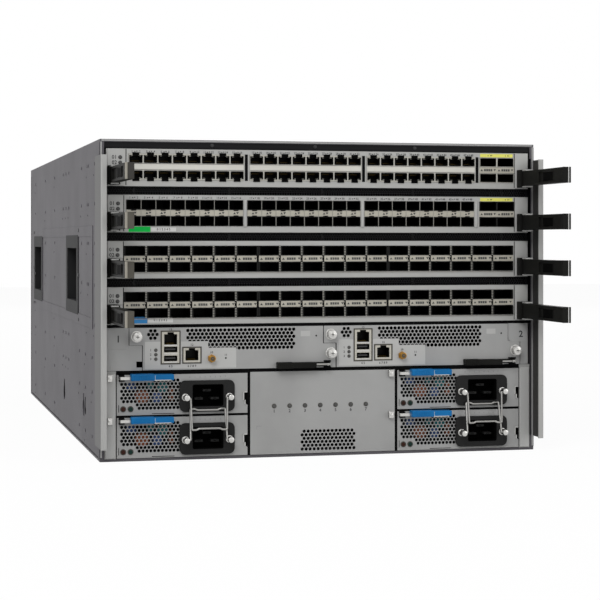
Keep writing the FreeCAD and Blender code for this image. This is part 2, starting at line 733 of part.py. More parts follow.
def supervisor(number):
    """A stepped face on a tray, with vents, socket windows, and lugs and a pin for the ejector."""
    left = f"(super_left + {number - 1} * super_pitch)"
    right = f"({left} + super_wide)"
    low, middle, high = "super_low", "(super_low + super_mid)", "(super_low + super_tall)"
    behind = (front("-face"), front("-card_deep"))
    outline = [(f"{left} + super_step", low), (f"{right} + super_step", low),
               (f"{right} + super_step", middle), (right, middle), (right, high), (left, high),
               (left, middle), (f"{left} + super_step", middle)]
    floor = (f"{left} + super_step + super_floor", f"{right} - super_floor")
    walls = (low, f"{low} + tray_wall")
    bar = (f"({low} + eject_up)", f"({low} + eject_up + eject_tall)")
    eye = (f"({right} + eject_pin)", front("eject_eye"), low)
    lugs, ahead = about(eye[0], "eject_lug"), (front("eject_lug_out"), front())
    parts = [prism("super_face", "XZ", outline, front(), front("-face")),
             box("super_floor", floor, behind, (low, f"{low} + thin")),
             box("super_wall_left", (floor[0], f"{floor[0]} + thin"), behind, walls),
             box("super_wall_right", (f"{floor[1]} - thin", floor[1]), behind, walls),
             box("lever_lug_low", lugs, ahead, (low, f"{bar[0]} - gap")),
             box("lever_lug_high", lugs, ahead, (f"{bar[1]} + gap", f"{bar[1]} + gap + lug")),
             pin("lever_post", "z", "pin", eye, f"{bar[1]} + gap + lug - {low}")]
    vent = [("vent_left", "vent_top"), ("vent_right", "vent_top"), ("vent_right", "vent_drop_three"),
            ("vent_third", "vent_drop_three"), ("vent_third", "vent_drop_two"),
            ("vent_second", "vent_drop_two"), ("vent_second", "vent_drop_one"),
            ("vent_left", "vent_drop_one")]
    through = (front("spare"), front("-face - spare"))
    stack, single = [((f"{left} + {word}_left", f"{left} + {word}_right"),
                      (f"{low} + {word}_low", f"{low} + {word}_high")) for word in ("stack", "single")]
    holes = [prism("super_vent", "XZ", [(f"{left} + {across}", f"{high} - {down}") for across, down in vent],
                   *through),
             box("super_vent_small", (f"{left} + small_vent_left", f"{left} + small_vent_right"), through,
                 (f"{high} - small_vent_drop", f"{high} - small_vent_top")),
             box("stack_window", stack[0], through, stack[1]),
             box("single_window", single[0], through, single[1])]
    node(cut(f"super_{number}", fuse(f"super_{number}_sheet", parts), holes), f"supervisor_{number}")
    sockets(number, left, stack, single)
    ejector(number, eye, bar)


def sockets(number, left, stack, single):
    """A network jack over two serial sockets, a single jack, and a round clock socket."""
    jack, serial = ("jack_wide", "jack_tall"), ("serial_wide", "serial_tall")
    clock = (f"{left} + stud_across", front("stud_out"), "super_low + stud_up")
    mouth = (clock[0], front("stud_out + spare"), clock[2])
    stacked = [("stack_jack_up", jack), ("serial_high_up", serial), ("serial_low_up", serial)]
    blocks = [socket_block(stack, "super_low", stacked),
              socket_block(single, "super_low", [("single_jack_up", jack)]),
              cut("clock_socket", pin("clock_stud", "y", "stud", clock, "stud_out"),
                  [bore("clock_bore", "y", "stud_bore", mouth, "stud_deep")])]
    node(group(f"super_{number}_sockets", blocks), f"supervisor_sockets_{number}")


def socket_block(window, low, openings):
    """The sockets behind one window of a supervisor, in one block."""
    across, up = window
    block = box("socket_solid", (f"{across[0]} + cage_gap", f"{across[1]} - cage_gap"),
                (front("nose"), front("-socket_block")), (f"{up[0]} + cage_gap", f"{up[1]} - cage_gap"))
    centre = f"({across[0]} + {across[1]}) / 2"
    pockets = [box("socket", about(centre, f"{wide} / 2"), (front("nose + spare"), front("-copper_deep")),
                   (f"{low} + {rise}", f"{low} + {rise} + {tall}")) for rise, (wide, tall) in openings]
    return cut("socket_block", block, pockets)


def ejector(number, eye, bar):
    """The flat lever at the foot of a supervisor, with a raised grip on its long end."""
    corners = [("eject_end - eject_slope", "eject_back"), ("eject_end", "eject_back + eject_slope"),
               ("eject_end", "eject_front - eject_slope / 2"), ("eject_end - eject_slope / 2", "eject_front"),
               ("-eject_grip_start", "eject_front"), ("-eject_grip_start - eject_slope", "eject_grip"),
               ("-eject_grip_end + eject_slope", "eject_grip"),
               ("-eject_grip_end", "eject_grip - eject_slope"), ("-eject_grip_end", "eject_back")]
    points = [(f"{eye[0]} + {across}", front(ahead)) for across, ahead in corners]
    hole = bore("eject_bore", "z", "pin + running", (eye[0], eye[1], f"{bar[0]} - spare"),
                "eject_tall + 2 * spare")
    node(cut(f"eject_{number}", prism("eject_bar", "XY", points, *bar), [hole]), f"supervisor_lever_{number}")


def power_supply(number):
    """A closed case with a vent recess, a recess for the inlet, and lugs and a pin for the latch."""
    column, lower = (number - 1) % 2, number > 2
    left = f"({(-1, 1)[column]} * power_offset - power_wide / 2)"
    base = "(cover + gap)" if lower else "(cover + gap + power_pitch)"
    case = box("power_case", (left, f"{left} + power_wide"), (front(), front("-power_deep")),
               (base, f"{base} + power_tall"))
    bar = (f"({base} + latch_low)", f"({base} + latch_low + latch_tall)")
    eye = (f"({left} + latch_hinge)", front("latch_eye"), f"{bar[0]} - gap - lug")
    lugs = [box("latch_lug", about(eye[0], "latch_end"), (front("latch_lug_out"), front()), up)
            for up in ((eye[2], f"{bar[0]} - gap"), (f"{bar[1]} + gap", f"{bar[1]} + gap + lug"))]
    post = pin("latch_post", "z", "latch_pin", eye, "latch_tall + 2 * gap + 2 * lug")
    inlet = ((f"({left} + inlet_left)", f"({left} + inlet_left + inlet_wide)"),
             (f"({base} + inlet_low)", f"({base} + inlet_low + inlet_tall)"))
    ahead, inset = front("spare"), "(inlet_lap - cage_gap)"
    steps = [("recess_left", "recess_mid"), ("recess_lamps", "recess_mid"), ("recess_lamps", "recess_low"),
             ("inlet_left", "recess_low"), ("inlet_left", "recess_high"), ("recess_latch", "recess_high"),
             ("recess_latch", "recess_lug"), ("recess_left", "recess_lug")]
    recesses = [prism("vent_recess", "XZ", [(f"{left} + {across}", f"{base} + {up}") for across, up in steps],
                      ahead, front("-recess_deep")),
                box("inlet_recess", (f"{inlet[0][0]} + {inset}", f"{inlet[0][1]} - {inset}"),
                    (ahead, front("-inlet_deep - inlet_back - gap")),
                    (f"{inlet[1][0]} + {inset}", f"{inlet[1][1]} - {inset}")),
                box("latch_notch", (f"{left} + power_wide - notch_wide", f"{left} + power_wide + spare"),
                    (ahead, front("-notch_deep")), (f"{base} + notch_low", f"{base} + notch_high"))]
    node(cut(f"supply_{number}", fuse(f"supply_{number}_body", [case, post] + lugs), recesses),
         f"power_supply_{number}")
    power_inlet(number, inlet, base)
    power_latch(number, left, eye, bar)
    cord_bail(number, left, base, lower)


def power_inlet(number, inlet, base):
    """A moulded inlet whose flange laps the panel, with three pins, and a boss at each side for the bail."""
    (left, right), (low, high) = inlet
    flange = prism("inlet_flange", "XZ", [(left, low), (right, low), (right, high), (left, high)],
                   front("inlet_out"), front(), ("inlet_round", [0, 1, 2, 3]))
    body = box("inlet_body", (f"{left} + inlet_lap", f"{right} - inlet_lap"),
               (front("inlet_out / 2"), front("-inlet_deep - inlet_back")),
               (f"{low} + inlet_lap", f"{high} - inlet_lap"))
    middle = (f"(({left} + {right}) / 2 + socket_shift)", f"(({low} + {high}) / 2 + socket_lift)")
    mouth = box("inlet_mouth", about(middle[0], "socket_wide / 2"),
                (front("inlet_out + spare"), front("-inlet_deep")), about(middle[1], "socket_tall / 2"))
    places = (("0", "blade_up"), ("-blade_apart", "-blade_down"), ("blade_apart", "-blade_down"))
    pins = [box("inlet_pin", about(f"{middle[0]} + {across}", "blade_wide / 2"),
                (front("-blade_set"), front("-inlet_deep - inlet_back / 4")),
                about(f"{middle[1]} + {up}", "blade_tall / 2")) for across, up in places]
    eye = (front("bail_out"), f"({base} + bail_up)")
    bosses, holes = [], []
    for place in (f"({left} + boss_inset)", f"({right} - boss_inset)"):
        bosses.append(pin("bail_boss", "y", "boss", (place, front("bail_out + boss_end"), eye[1]),
                          "bail_out + boss_end - inlet_out / 2", BOSS_SIDES))
        holes.append(bore("bail_bore", "x", "bail_wire + running", (f"{place} - 2 * boss", *eye), "4 * boss"))
    hollow = cut("inlet_hollow", fuse("inlet_block", [flange, body]), [mouth])
    node(cut(f"inlet_{number}", fuse(f"inlet_{number}_body", [hollow] + pins + bosses), holes),
         f"power_inlet_{number}")


def power_latch(number, left, eye, bar):
    """A flat arm on its pin with a moulded grip over it."""
    tip = f"{left} + latch_reach"
    start = f"{eye[0]} - latch_end"
    arm = [(f"{start} + latch_corner", front("latch_back")), (start, front("latch_back + latch_corner")),
           (start, front("latch_front - latch_corner")), (f"{start} + latch_corner", front("latch_front")),
           (tip, front("latch_front")), (tip, front("latch_back"))]
    root = f"{left} + latch_grip_left"
    grip = [(root, front("latch_back")), (root, front("latch_grip_rise")),
            (f"{root} + latch_grip_slope", front("latch_grip_out")),
            (f"{tip} - latch_grip_slope", front("latch_grip_out")), (tip, front("latch_grip_rise")),
            (tip, front("latch_back"))]
    solid = [prism("latch_arm", "XY", arm, *bar),
             prism("latch_grip", "XY", grip, f"{bar[0]} - latch_grip_under", f"{bar[1]} + latch_grip_over")]
    hole = bore("latch_bore", "z", "latch_pin + running", (eye[0], eye[1], f"{bar[0]} - spare"),
                "latch_tall + 2 * spare")
    node(cut(f"latch_{number}", fuse(f"latch_{number}_bar", solid), [hole]), f"power_latch_{number}")


def eased_path(points, corners, setback):
    """A wire of straight runs, with a short run across each of the corners named by their number."""
    path = []
    for number, place in enumerate(points):
        if number in corners:
            before, after = points[number - 1] - place, points[number + 1] - place
            path += [place + before.normalize() * setback, place + after.normalize() * setback]
        else:
            path.append(place)
    return Part.makePolygon(path)


def cord_bail(number, left, base, lower):
    """A sprung wire loop, six-sided in section, whose ends turn outward into the two bosses of the inlet."""
    wire, reach = size("bail_wire"), size("bail_long")
    boss, centre = size("inlet_left") + size("boss_inset"), size("inlet_left") + size("inlet_wide") / 2
    leg = boss + size("bail_inward")
    foot = leg + size("bump_start")
    half = [(boss - size("bail_end"), 0), (leg, 0), (leg, -reach), (foot, -reach),
            (foot + size("bump_run"), size("bump") - reach)]
    outline = half + [(2 * centre - across, up) for across, up in reversed(half)]
    path = eased_path([FreeCAD.Vector(across, 0, up) for across, up in outline], (1, 2, 7, 8),
                      size("bail_ease") * wire)
    ring = [FreeCAD.Vector(outline[0][0], wire * math.cos(turn), wire * math.sin(turn))
            for turn in (math.radians(60 * k) for k in range(7))]
    loop = doc.addObject("Part::Feature", f"bail_{number}")
    loop.Shape = Part.Wire(path).makePipeShell([Part.makePolygon(ring)], True, False, 1)
    lean = 180 - size("bail_lean") if lower else -size("bail_hang")
    loop.Placement.Rotation = FreeCAD.Rotation(FreeCAD.Vector(1, 0, 0), lean)
    for letter, text in zip("xyz", (left, front("bail_out"), f"{base} + bail_up")):
        bind(loop, "Placement.Base." + letter, text)
    node(loop, f"cord_bail_{number}")


def ring_of_flats(sides, radius, length, turn=0.0):
    """A round form in flats about the Y axis, from the origin towards -Y."""
    angles = [math.radians(360 * k / sides + turn) for k in range(sides + 1)]
    corners = [FreeCAD.Vector(radius * math.cos(angle), 0, radius * math.sin(angle)) for angle in angles]
    return Part.Face(Part.makePolygon(corners)).extrude(FreeCAD.Vector(0, -length, 0))


def rotor_shape():
    """A hub with pitched blades, each on three of its flats, bored for the shaft."""
    hub, tip, deep = size("rotor_hub"), size("rotor_tip"), size("rotor_deep")
    half, thick, turn = size("blade_chord") / 2, size("blade_sheet"), size("blade_turn")
    origin, ahead = FreeCAD.Vector(), FreeCAD.Vector(0, -1, 0)
    root = math.sqrt(hub ** 2 - (half * math.sin(math.radians(turn))) ** 2) - 2 * thick
    line = [(-half, 0), (half, 0), (half, thick), (-half, thick), (-half, 0)]
    section = Part.Face(Part.makePolygon([FreeCAD.Vector(root, along, up) for along, up in line]))
    blade = section.extrude(FreeCAD.Vector(math.sqrt(tip ** 2 - half ** 2) - root, 0, 0))
    blade.rotate(origin, FreeCAD.Vector(1, 0, 0), turn)
    blade.translate(ahead * (deep / 2))
    rotor = ring_of_flats(3 * BLADES, hub, deep, 180 / (3 * BLADES))
    for k in range(BLADES):
        turned = blade.copy()
        turned.rotate(origin, ahead, 360 * k / BLADES)
        rotor = rotor.fuse(turned)
    eye = (size("shaft") + size("running")) / math.cos(math.radians(180 / PIN_SIDES))
    return rotor.cut(ring_of_flats(PIN_SIDES, eye, deep))


def fan_motor(eye, seat):
    """A motor with its shaft, on two crossed struts."""
    across, up = about(eye[0], "motor_half"), about(eye[1], "motor_half")
    reach, thin_bar = "fan_bore + strut / 3", "strut / 2"
    return [box("motor", across, (seat, f"{seat} + motor_deep"), up),
            pin("motor_shaft", "y", "shaft", (eye[0], f"{seat} - rotor_deep - 2 * spare", eye[1]),
                "rotor_deep + 3 * spare"),
            box("motor_strut", about(eye[0], reach), (seat, f"{seat} + strut_deep"), about(eye[1], thin_bar)),
            box("motor_strut", about(eye[0], thin_bar), (seat, f"{seat} + strut_deep"), about(eye[1], reach))]


def fan_tray(number, rotor):
    """A tray with two bores, a motor in each, and a pull handle."""
    middle, centre = f"({number - 2} * fan_pitch)", "(fan_low + fan_tall / 2)"
    inner, outer = rear("fan_deep"), rear("-tray_out")
    block = box("fan_block", about(middle, "fan_wide / 2 - gap"), (inner, outer),
                about(centre, "fan_tall / 2 - gap"))
    bores, motors = [], []
    for word, sign in (("lower", "-"), ("upper", "+")):
        eye = (middle, f"({centre} {sign} fan_tall / 4)")
        bores.append(bore("fan_way", "y", "fan_bore", (eye[0], f"{inner} - spare", eye[1]),
                          "fan_deep + tray_out + 2 * spare", FAN_SIDES))
        seat = rear("motor_set")
        motors += fan_motor(eye, seat)
        wheel = doc.addObject("Part::Feature", f"rotor_{number}_{word}")
        wheel.Shape = rotor
        for letter, text in zip("xyz", (eye[0], f"{seat} - spare", eye[1])):
            bind(wheel, "Placement.Base." + letter, text)
        node(wheel, f"fan_rotor_{number}_{word}")
    root, out = rear("-handle_root"), rear("-handle_out")
    low, high = about(centre, "handle_rise")
    grip = [(root, low), (f"{out} - handle_corner", low), (out, f"{low} + handle_corner"),
            (out, f"{high} - handle_corner"), (f"{out} - handle_corner", high), (root, high)]
    handle = prism("fan_handle", "YZ", grip, *about(middle, "handle_half"))
    slot = box("handle_gap", about(middle, "handle_half - handle_leg"),
               (outer, rear("handle_thick - handle_out")), about(centre, "handle_rise + spare"))
    parts = [cut("fan_bored", block, bores)] + motors + [cut("fan_pull", handle, [slot])]
    node(fuse(f"tray_{number}", parts), f"fan_tray_{number}")


def rear_end():
    """Upright boards behind the cards, the rear frame, and the fan trays in it."""
    start, end = front("-bay_deep - board_start"), rear("fan_deep + board_room")
    boards = []
    for k in range(6):
        middle = f"({k - 2.5} * board_pitch)"
        side = f"({middle} + board_sheet / 2)"
        parts = [box("board", about(middle, "board_sheet / 2"), (start, end),
                     ("cover", "chassis_height - cover - board_drop"))]
        for slot in range(4):
            low = f"card_first + {slot} * card_pitch + plug_up"
            parts.append(box("board_plug", (side, f"{side} + plug_wide"), (start, f"{start} + plug_deep"),
                             (low, f"{low} + plug_tall")))
        boards.append(fuse("fabric_board", parts))
    node(group("board_set", boards), "fabric_modules")

    plate = box("rear_plate", ("thin - inside", "inside - thin"), (rear("rear_sheet"), rear()),
                ("cover", "chassis_height - cover"))
    through = (rear("rear_sheet + spare"), rear("-spare"))
    windows = [box("fan_window", about(f"({k}) * fan_pitch", "fan_wide / 2"), through,
                   ("fan_low", "fan_low + fan_tall")) for k in (-1, 0, 1)]
    node(cut("rear_frame", plate, windows), "rear_frame")
    rotor = rotor_shape()
    for number in (1, 2, 3):
        fan_tray(number, rotor)


def export():
    """Check every object of the document, then write one file to a sub-part."""
    doc.recompute()
    bad = [item.Name for item in doc.Objects if {"Invalid", "Error"} & set(item.State)]
    for piece in NODES:
        shape = piece.Shape
        if shape.isNull() or not shape.isValid() or not shape.Solids:
            bad.append(piece.Label)
    if bad:
        raise RuntimeError("failed: " + ", ".join(bad))
    os.makedirs("parts", exist_ok=True)
    for piece in NODES:
        piece.Shape.exportStep(f"parts/{piece.Label}.step")
    print(len(NODES), "sub-parts written")


chassis_shell()
bay_frame()
card_guides()
face_plates()
for slot_number in (1, 2, 3, 4):
    line_card(slot_number)
for bay_number in (1, 2):
    supervisor(bay_number)
for supply_number in (1, 2, 3, 4):
    power_supply(supply_number)
rear_end()
export()
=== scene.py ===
import json
import math

import bpy
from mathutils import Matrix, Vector


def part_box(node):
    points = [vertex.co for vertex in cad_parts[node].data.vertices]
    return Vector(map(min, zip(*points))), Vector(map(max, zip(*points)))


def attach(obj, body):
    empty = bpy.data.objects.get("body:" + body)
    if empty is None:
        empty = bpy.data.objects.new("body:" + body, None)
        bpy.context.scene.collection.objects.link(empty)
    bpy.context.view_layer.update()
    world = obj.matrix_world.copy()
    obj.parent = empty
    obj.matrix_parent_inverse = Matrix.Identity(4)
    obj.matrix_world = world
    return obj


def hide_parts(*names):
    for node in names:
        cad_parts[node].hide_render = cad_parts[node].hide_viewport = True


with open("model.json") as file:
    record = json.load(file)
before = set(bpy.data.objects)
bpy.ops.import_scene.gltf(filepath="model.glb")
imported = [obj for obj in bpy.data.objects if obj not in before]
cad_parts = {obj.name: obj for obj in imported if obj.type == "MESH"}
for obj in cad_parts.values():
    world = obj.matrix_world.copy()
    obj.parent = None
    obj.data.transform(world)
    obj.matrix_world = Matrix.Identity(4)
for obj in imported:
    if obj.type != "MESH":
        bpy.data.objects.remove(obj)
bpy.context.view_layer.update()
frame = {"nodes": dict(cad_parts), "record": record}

# Modular chassis switch: steel sheet, moulded levers and latches, wire bails, nickel cages, drilled vents.
MM = 0.001
NODES = frame["nodes"]
bpy.ops.object.select_all(action="DESELECT")

# ---------------------------------------------------------------- places, in mm, read from the frame


def limits(node):
    """Lowest and highest corner of a CAD node, in mm."""
    low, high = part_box(node)
    return [c / MM for c in low], [c / MM for c in high]


PANEL_LOW, PANEL_HIGH = limits("side_panel_right")
FACE_Y = PANEL_LOW[1]                       # the front plane
REAR_Y = PANEL_HIGH[1]
TOP_Z = PANEL_HIGH[2]
HALF = PANEL_HIGH[0]                        # half the chassis width
CARD_LOW, CARD_HIGH = limits("line_card_1")
CARD_HALF = CARD_HIGH[0]
CARD_TALL = CARD_HIGH[2] - CARD_LOW[2]
CARD_BASE = {n: limits(f"line_card_{n}")[0][2] for n in (1, 2, 3, 4)}
SUPER_LEFT = {n: limits(f"supervisor_{n}")[0][0] for n in (1, 2)}
SUPER_LOW = limits("supervisor_1")[0][2]
SUPER_TOP = limits("supervisor_1")[1][2]
SUPPLY = {n: limits(f"power_supply_{n}")[0] for n in (1, 2, 3, 4)}
SUPPLY_HIGH = limits("power_supply_1")[1]
SUPPLY_WIDE = SUPPLY_HIGH[0] - SUPPLY[1][0]
SUPPLY_TALL = SUPPLY_HIGH[2] - SUPPLY[1][2]

# ---------------------------------------------------------------- finishes


def linear(code):
    """An sRGB hex colour as linear values."""
    parts = [int(code[k:k + 2], 16) / 255 for k in (1, 3, 5)]
    return [c / 12.92 if c <= 0.04045 else ((c + 0.055) / 1.055) ** 2.4 for c in parts] + [1.0]


def shaded(code, share):
    """A hex colour darkened to a share of itself."""
    return "#" + "".join(f"{int(int(code[k:k + 2], 16) * share):02x}" for k in (1, 3, 5))


def fed(tree, node, inputs):
    """Inputs are values, or the sockets that feed them."""
    for key, value in inputs.items():
        if isinstance(value, bpy.types.NodeSocket):
            tree.links.new(value, node.inputs[key])
        else:
            node.inputs[key].default_value = value
    return node


def add(tree, kind, inputs=None, **settings):
    """One node, with its settings and what feeds it."""
    made = tree.nodes.new(kind)
    for key, value in settings.items():
        setattr(made, key, value)
    return fed(tree, made, inputs or {})


def blank(name):
    """A material with only its output and a shader, and the piece's own coordinates in metres."""
    made = bpy.data.materials.new(name)
    made.use_nodes = True
    tree = made.node_tree
    tree.nodes.clear()
    shader = add(tree, "ShaderNodeBsdfPrincipled")
    add(tree, "ShaderNodeOutputMaterial", {"Surface": shader.outputs[0]})
    place = add(tree, "ShaderNodeTexCoord").outputs["Object"]
    return made, tree, shader, place


def noise(tree, place, grain, detail=3.0):
    """Noise whose grain is in mm."""
    inputs = {"Vector": place, "Scale": 1 / (grain * MM), "Detail": detail}
    return add(tree, "ShaderNodeTexNoise", inputs).outputs["Fac"]


def ranged(tree, value, start=0.0, end=1.0, low=0.0, high=1.0):
    """A value between start and end, spread from low to high."""
    inputs = {"Value": value, "From Min": start, "From Max": end, "To Min": low, "To Max": high}
    return add(tree, "ShaderNodeMapRange", inputs).outputs[0]


def blended(tree, share, first, second):
    """Two colours mixed by a share; each is a hex code or a socket."""
    pair = [linear(c) if isinstance(c, str) else c for c in (first, second)]
    return add(tree, "ShaderNodeMix", {0: share, 6: pair[0], 7: pair[1]}, data_type="RGBA").outputs[2]


def bumped(tree, height, depth, strength=0.6):
    """A rough surface whose height is in mm."""
    inputs = {"Height": height, "Distance": depth * MM, "Strength": strength}
    return add(tree, "ShaderNodeBump", inputs).outputs[0]


def inwards(tree, place, start, end):
    """Nothing in front of a start in Y, and all behind an end, in mm."""
    along = add(tree, "ShaderNodeSeparateXYZ", {"Vector": place})
    return ranged(tree, along.outputs["Y"], start * MM, end * MM)


def coated(name, colour, shade, roughness, grain, depth, metallic=0.0, cloud=60.0, gloss=0.5):
    """Paint or plating on sheet metal: a colour that drifts a little, with a fine orange-peel grain.

    grain is the size of the grain, cloud that of the drift and depth the height of the grain, in mm.
    """
    made, tree, shader, place = blank(name)
    drift = ranged(tree, noise(tree, place, cloud), 0.35, 0.65)
    fine = noise(tree, place, grain, 2.0)
    fed(tree, shader, {"Base Color": blended(tree, drift, colour, shade),
                       "Roughness": ranged(tree, fine, low=roughness - 0.06, high=roughness + 0.08),
                       "Normal": bumped(tree, fine, depth),
                       "Metallic": metallic, "Specular IOR Level": gloss})
    return made


def brushed(name, colour, shade, roughness, line=0.35, along="X"):
    """Bare plated steel with fine drawn lines along one axis; line is their spacing in mm."""
    made, tree, shader, place = blank(name)
    stretch = {"X": (0.04, 1, 1), "Y": (1, 0.04, 1), "Z": (1, 1, 0.04)}[along]
    turned = add(tree, "ShaderNodeMapping", {"Vector": place, "Scale": stretch})
    lines = noise(tree, turned.outputs[0], line)
    fed(tree, shader, {"Base Color": blended(tree, lines, colour, shade),
                       "Roughness": ranged(tree, lines, low=roughness - 0.08, high=roughness + 0.1),
                       "Normal": bumped(tree, lines, 0.01, 0.5), "Metallic": 1.0})
    return made


def socket_metal(name, rim, inside, mouth, depth, roughness, metallic):
    """A pressed cage or housing, bright at its mouth, with painted shade that makes it dark inside.

    mouth is the Y of its front edge and depth the length of the bright lip, in mm.
    """
    made, tree, shader, place = blank(name)
    worn = blended(tree, noise(tree, place, 0.8), rim, shaded(rim, 0.88))
    # Painted shade: past the lip the colour goes to the dark inside one.
    inner = inwards(tree, place, mouth + 0.2, mouth + 0.2 + depth)
    fed(tree, shader, {"Base Color": blended(tree, inner, worn, inside), "Roughness": roughness,
                       "Metallic": metallic, "Specular IOR Level": 0.15})
    return made


def faced(name, paint, shade, inner, edge):
    """Sheet painted on its face only, with a dark colour behind it as painted shade; edge is where the paint
    ends, in mm.
    """
    made, tree, shader, place = blank(name)
    coat = blended(tree, noise(tree, place, 45), paint, shade)
    # Painted shade: behind the edge the colour goes to the dark inner one.
    behind = inwards(tree, place, edge - 0.1, edge + 0.1)
    fed(tree, shader, {"Base Color": blended(tree, behind, coat, inner), "Roughness": 0.42,
                       "Normal": bumped(tree, noise(tree, place, 0.6, 2.0), 0.012),
                       "Specular IOR Level": 0.2})
    return made


# Sheet and paint. Powder coat over steel on the sides and covers: dark, warm, with a fine orange peel.
SIDE = coated("powder_coat_dark_grey", "#59575b", "#504e52", 0.55, 0.8, 0.05, gloss=0.2)
# Clear lacquer over zinc-plated front sheet: pale grey, half gloss, with a slow drift of tone.
FRONT = coated("lacquered_sheet_grey", "#a4a4a3", "#9b9b9a", 0.42, 0.6, 0.02, 0, 45.0)
# Printed polyester film over part of a face, a little paler and smoother than the sheet; the same pale finish
# on the columns beside the supplies is painted light.
FILM_AND_PAINTED_LIGHT = coated("pale_film_and_painted_light", "#b9b9b7", "#b3b3b1", 0.34, 1.4, 0.006)
# Sprayed enamel on the card faces, brighter than the front sheet.
FACE = coated("painted_card_face", "#b3b3b0", "#a9a9a7", 0.38, 0.6, 0.012)
# Black zinc plate on perforated and folded sheet: dark, faintly shiny.
BLACK = coated("black_zinc_sheet", "#131315", "#0e0e10", 0.5, 0.5, 0.02, gloss=0.12)
# Near-black painted shade inside the chassis, behind the face sheets and in the gaps, seams, slots and
# dimples, dull, so that nothing shines through the air holes; it also colours the foam filters, the cage
# latch tabs and the fan screens.
SHADE_BLACK = coated("black_and_painted_shade", "#0e0e0f", "#0a0a0b", 0.7, 1.0, 0.02, gloss=0.04)
# Galvanised sheet of the fan trays, with its cool spangle.
INNER = coated("galvanised_inner_sheet", "#8f918f", "#7d807e", 0.38, 2.5, 0.01, 0.7, 9.0)
# A pale edge: bare cut steel round the latch notches, and a painted highlight along the right levers' edges.
CUT_EDGE_AND_HIGHLIGHT = coated("cut_edge_and_painted_highlight", "#d4d4d2", "#c8c8c5", 0.35, 0.4, 0.01, 0.3)

# Mouldings. Glass-filled nylon of the levers: dull black with a fine spark pattern.
LEVER = coated("moulded_glass_nylon", "#1c1c1a", "#161615", 0.5, 0.35, 0.02, gloss=0.06)
# Polycarbonate of the carrying cups, matt from a textured tool.
CUP = coated("moulded_cup_black", "#262627", "#1f1f20", 0.6, 0.6, 0.03, gloss=0.1)
# Thermoset of the power inlets, a little paler and smoother than the levers.
INLET = coated("moulded_inlet_black", "#242424", "#1e1e1e", 0.45, 0.4, 0.015, gloss=0.12)
# Painted shade: near black for the unlit bottom of a mouth, slot, seam or recess.
PAINTED_SHADE = coated("painted_shade_pitch_black", "#050505", "#030303", 0.7, 0.6, 0.01, gloss=0.03)
# Coloured nylon of the latch grips, a deep clear blue with a soft shine.
BLUE = coated("moulded_latch_blue", "#0d6fae", "#0a659f", 0.38, 0.5, 0.012, gloss=0.2)
# PBT of the fan rotors, with light flow marks.
FAN = coated("moulded_fan_black", "#202022", "#19191b", 0.45, 0.5, 0.015)
# Conductive foam round the sockets, brown-black and matt.
GASKET = coated("socket_gasket_dark", "#3b3830", "#322f29", 0.5, 0.5, 0.01)
# Tongues of the serial sockets, smooth black.
SOFT_BLACK = coated("socket_tongue_black", "#1a1a1a", "#141414", 0.45, 0.5, 0.01)
# End caps of the levers, darker on the top card and a dull bronze grey on the lower three cards.
LEVER_END = {n: coated(f"lever_end_cap_{n}", *tones, 0.5, 0.4, 0.02, gloss=0.15)
             for n, tones in enumerate([("#3f3d3a", "#33322f")] + 3 * [("#5f5c54", "#4b4842")], 1)}

# Labels and ink. Coloured vinyl film, flat and even.
GREEN_LABEL = coated("green_film_label", "#0cbb4a", "#0aaf44", 0.5, 1.0, 0.004, gloss=0.15)
BLUE_LABEL = coated("blue_film_label", "#1277b5", "#106da6", 0.4, 1.0, 0.004)
YELLOW_LABEL = coated("yellow_film_label", "#e8e56a", "#dfdc62", 0.4, 1.0, 0.004)
WHITE_LABEL = coated("white_film_label", "#cfcfcd", "#c9c9c6", 0.4, 1.0, 0.004)
# Light-pipe strip between the port rows, a warm beige polycarbonate.
BEIGE = coated("light_pipe_strip_beige", "#b4b0a3", "#aaa699", 0.45, 0.6, 0.01)
# Screen-printed ink, and its paler second pass over the inlets.
INK = coated("screen_print_ink", "#2a2a2c", "#242426", 0.6, 0.5, 0.004)
PALE_INK = coated("screen_print_ink_grey", "#7e7e7d", "#777776", 0.6, 0.5, 0.004)

# Lamps, and the parts on the boards. Smoked lens of an unlit lamp, and the clouded end of a light pipe.
LENS = coated("lamp_lens_dark", "#4a4a48", "#3e3e3d", 0.25, 0.4, 0.004)
MILKY = coated("light_pipe_milky", "#b9b7ac", "#aeaca2", 0.35, 0.4, 0.004)
LAMP_BROWN = coated("lamp_lens_brown", "#37190f", "#241009", 0.3, 0.6, 0.004, gloss=0.15)
LAMP_GREEN = coated("lamp_lens_green", "#10302a", "#0a201b", 0.3, 0.6, 0.004, gloss=0.15)
# Solder mask over copper on the fabric boards, with the weave of the glass under it.
BOARD = coated("solder_mask_green", "#173a26", "#13301f", 0.4, 1.2, 0.03)
# Enamelled copper wire, a capacitor's heat-shrunk sleeve and a dipped film part.
WOUND = coated("copper_winding", "#8a4a2c", "#5f2f1b", 0.5, 0.8, 0.05, gloss=0.2)
TEAL = coated("capacitor_sleeve_teal", "#14656a", "#104f53", 0.45, 0.8, 0.01, gloss=0.2)
FILM_BLUE = coated("film_capacitor_blue", "#2c4779", "#223a66", 0.45, 0.8, 0.01, gloss=0.2)

# Metals. Nickel plate on screws and posts, and the duller plate on drawn wire.
NICKEL = brushed("bright_nickel", "#cfcecb", "#b3b2af", 0.27, 0.25)
WIRE = brushed("nickel_plated_wire", "#a3a29f", "#868582", 0.3, 0.2)
# Stainless strip on a lever's edge, brushed upwards.
BAND = brushed("stainless_band", "#aaa69c", "#757168", 0.34, 0.3, "Z")
# Stamped nickel silver of the cages, and the plated rail between the jacks.
CAGE = brushed("stamped_nickel_cage", "#a5a39c", "#83817b", 0.4)
COPPER_RAIL = coated("jack_rail_plated", "#cfcdc5", "#c6c4bc", 0.36, 0.5, 0.01, 0.15)
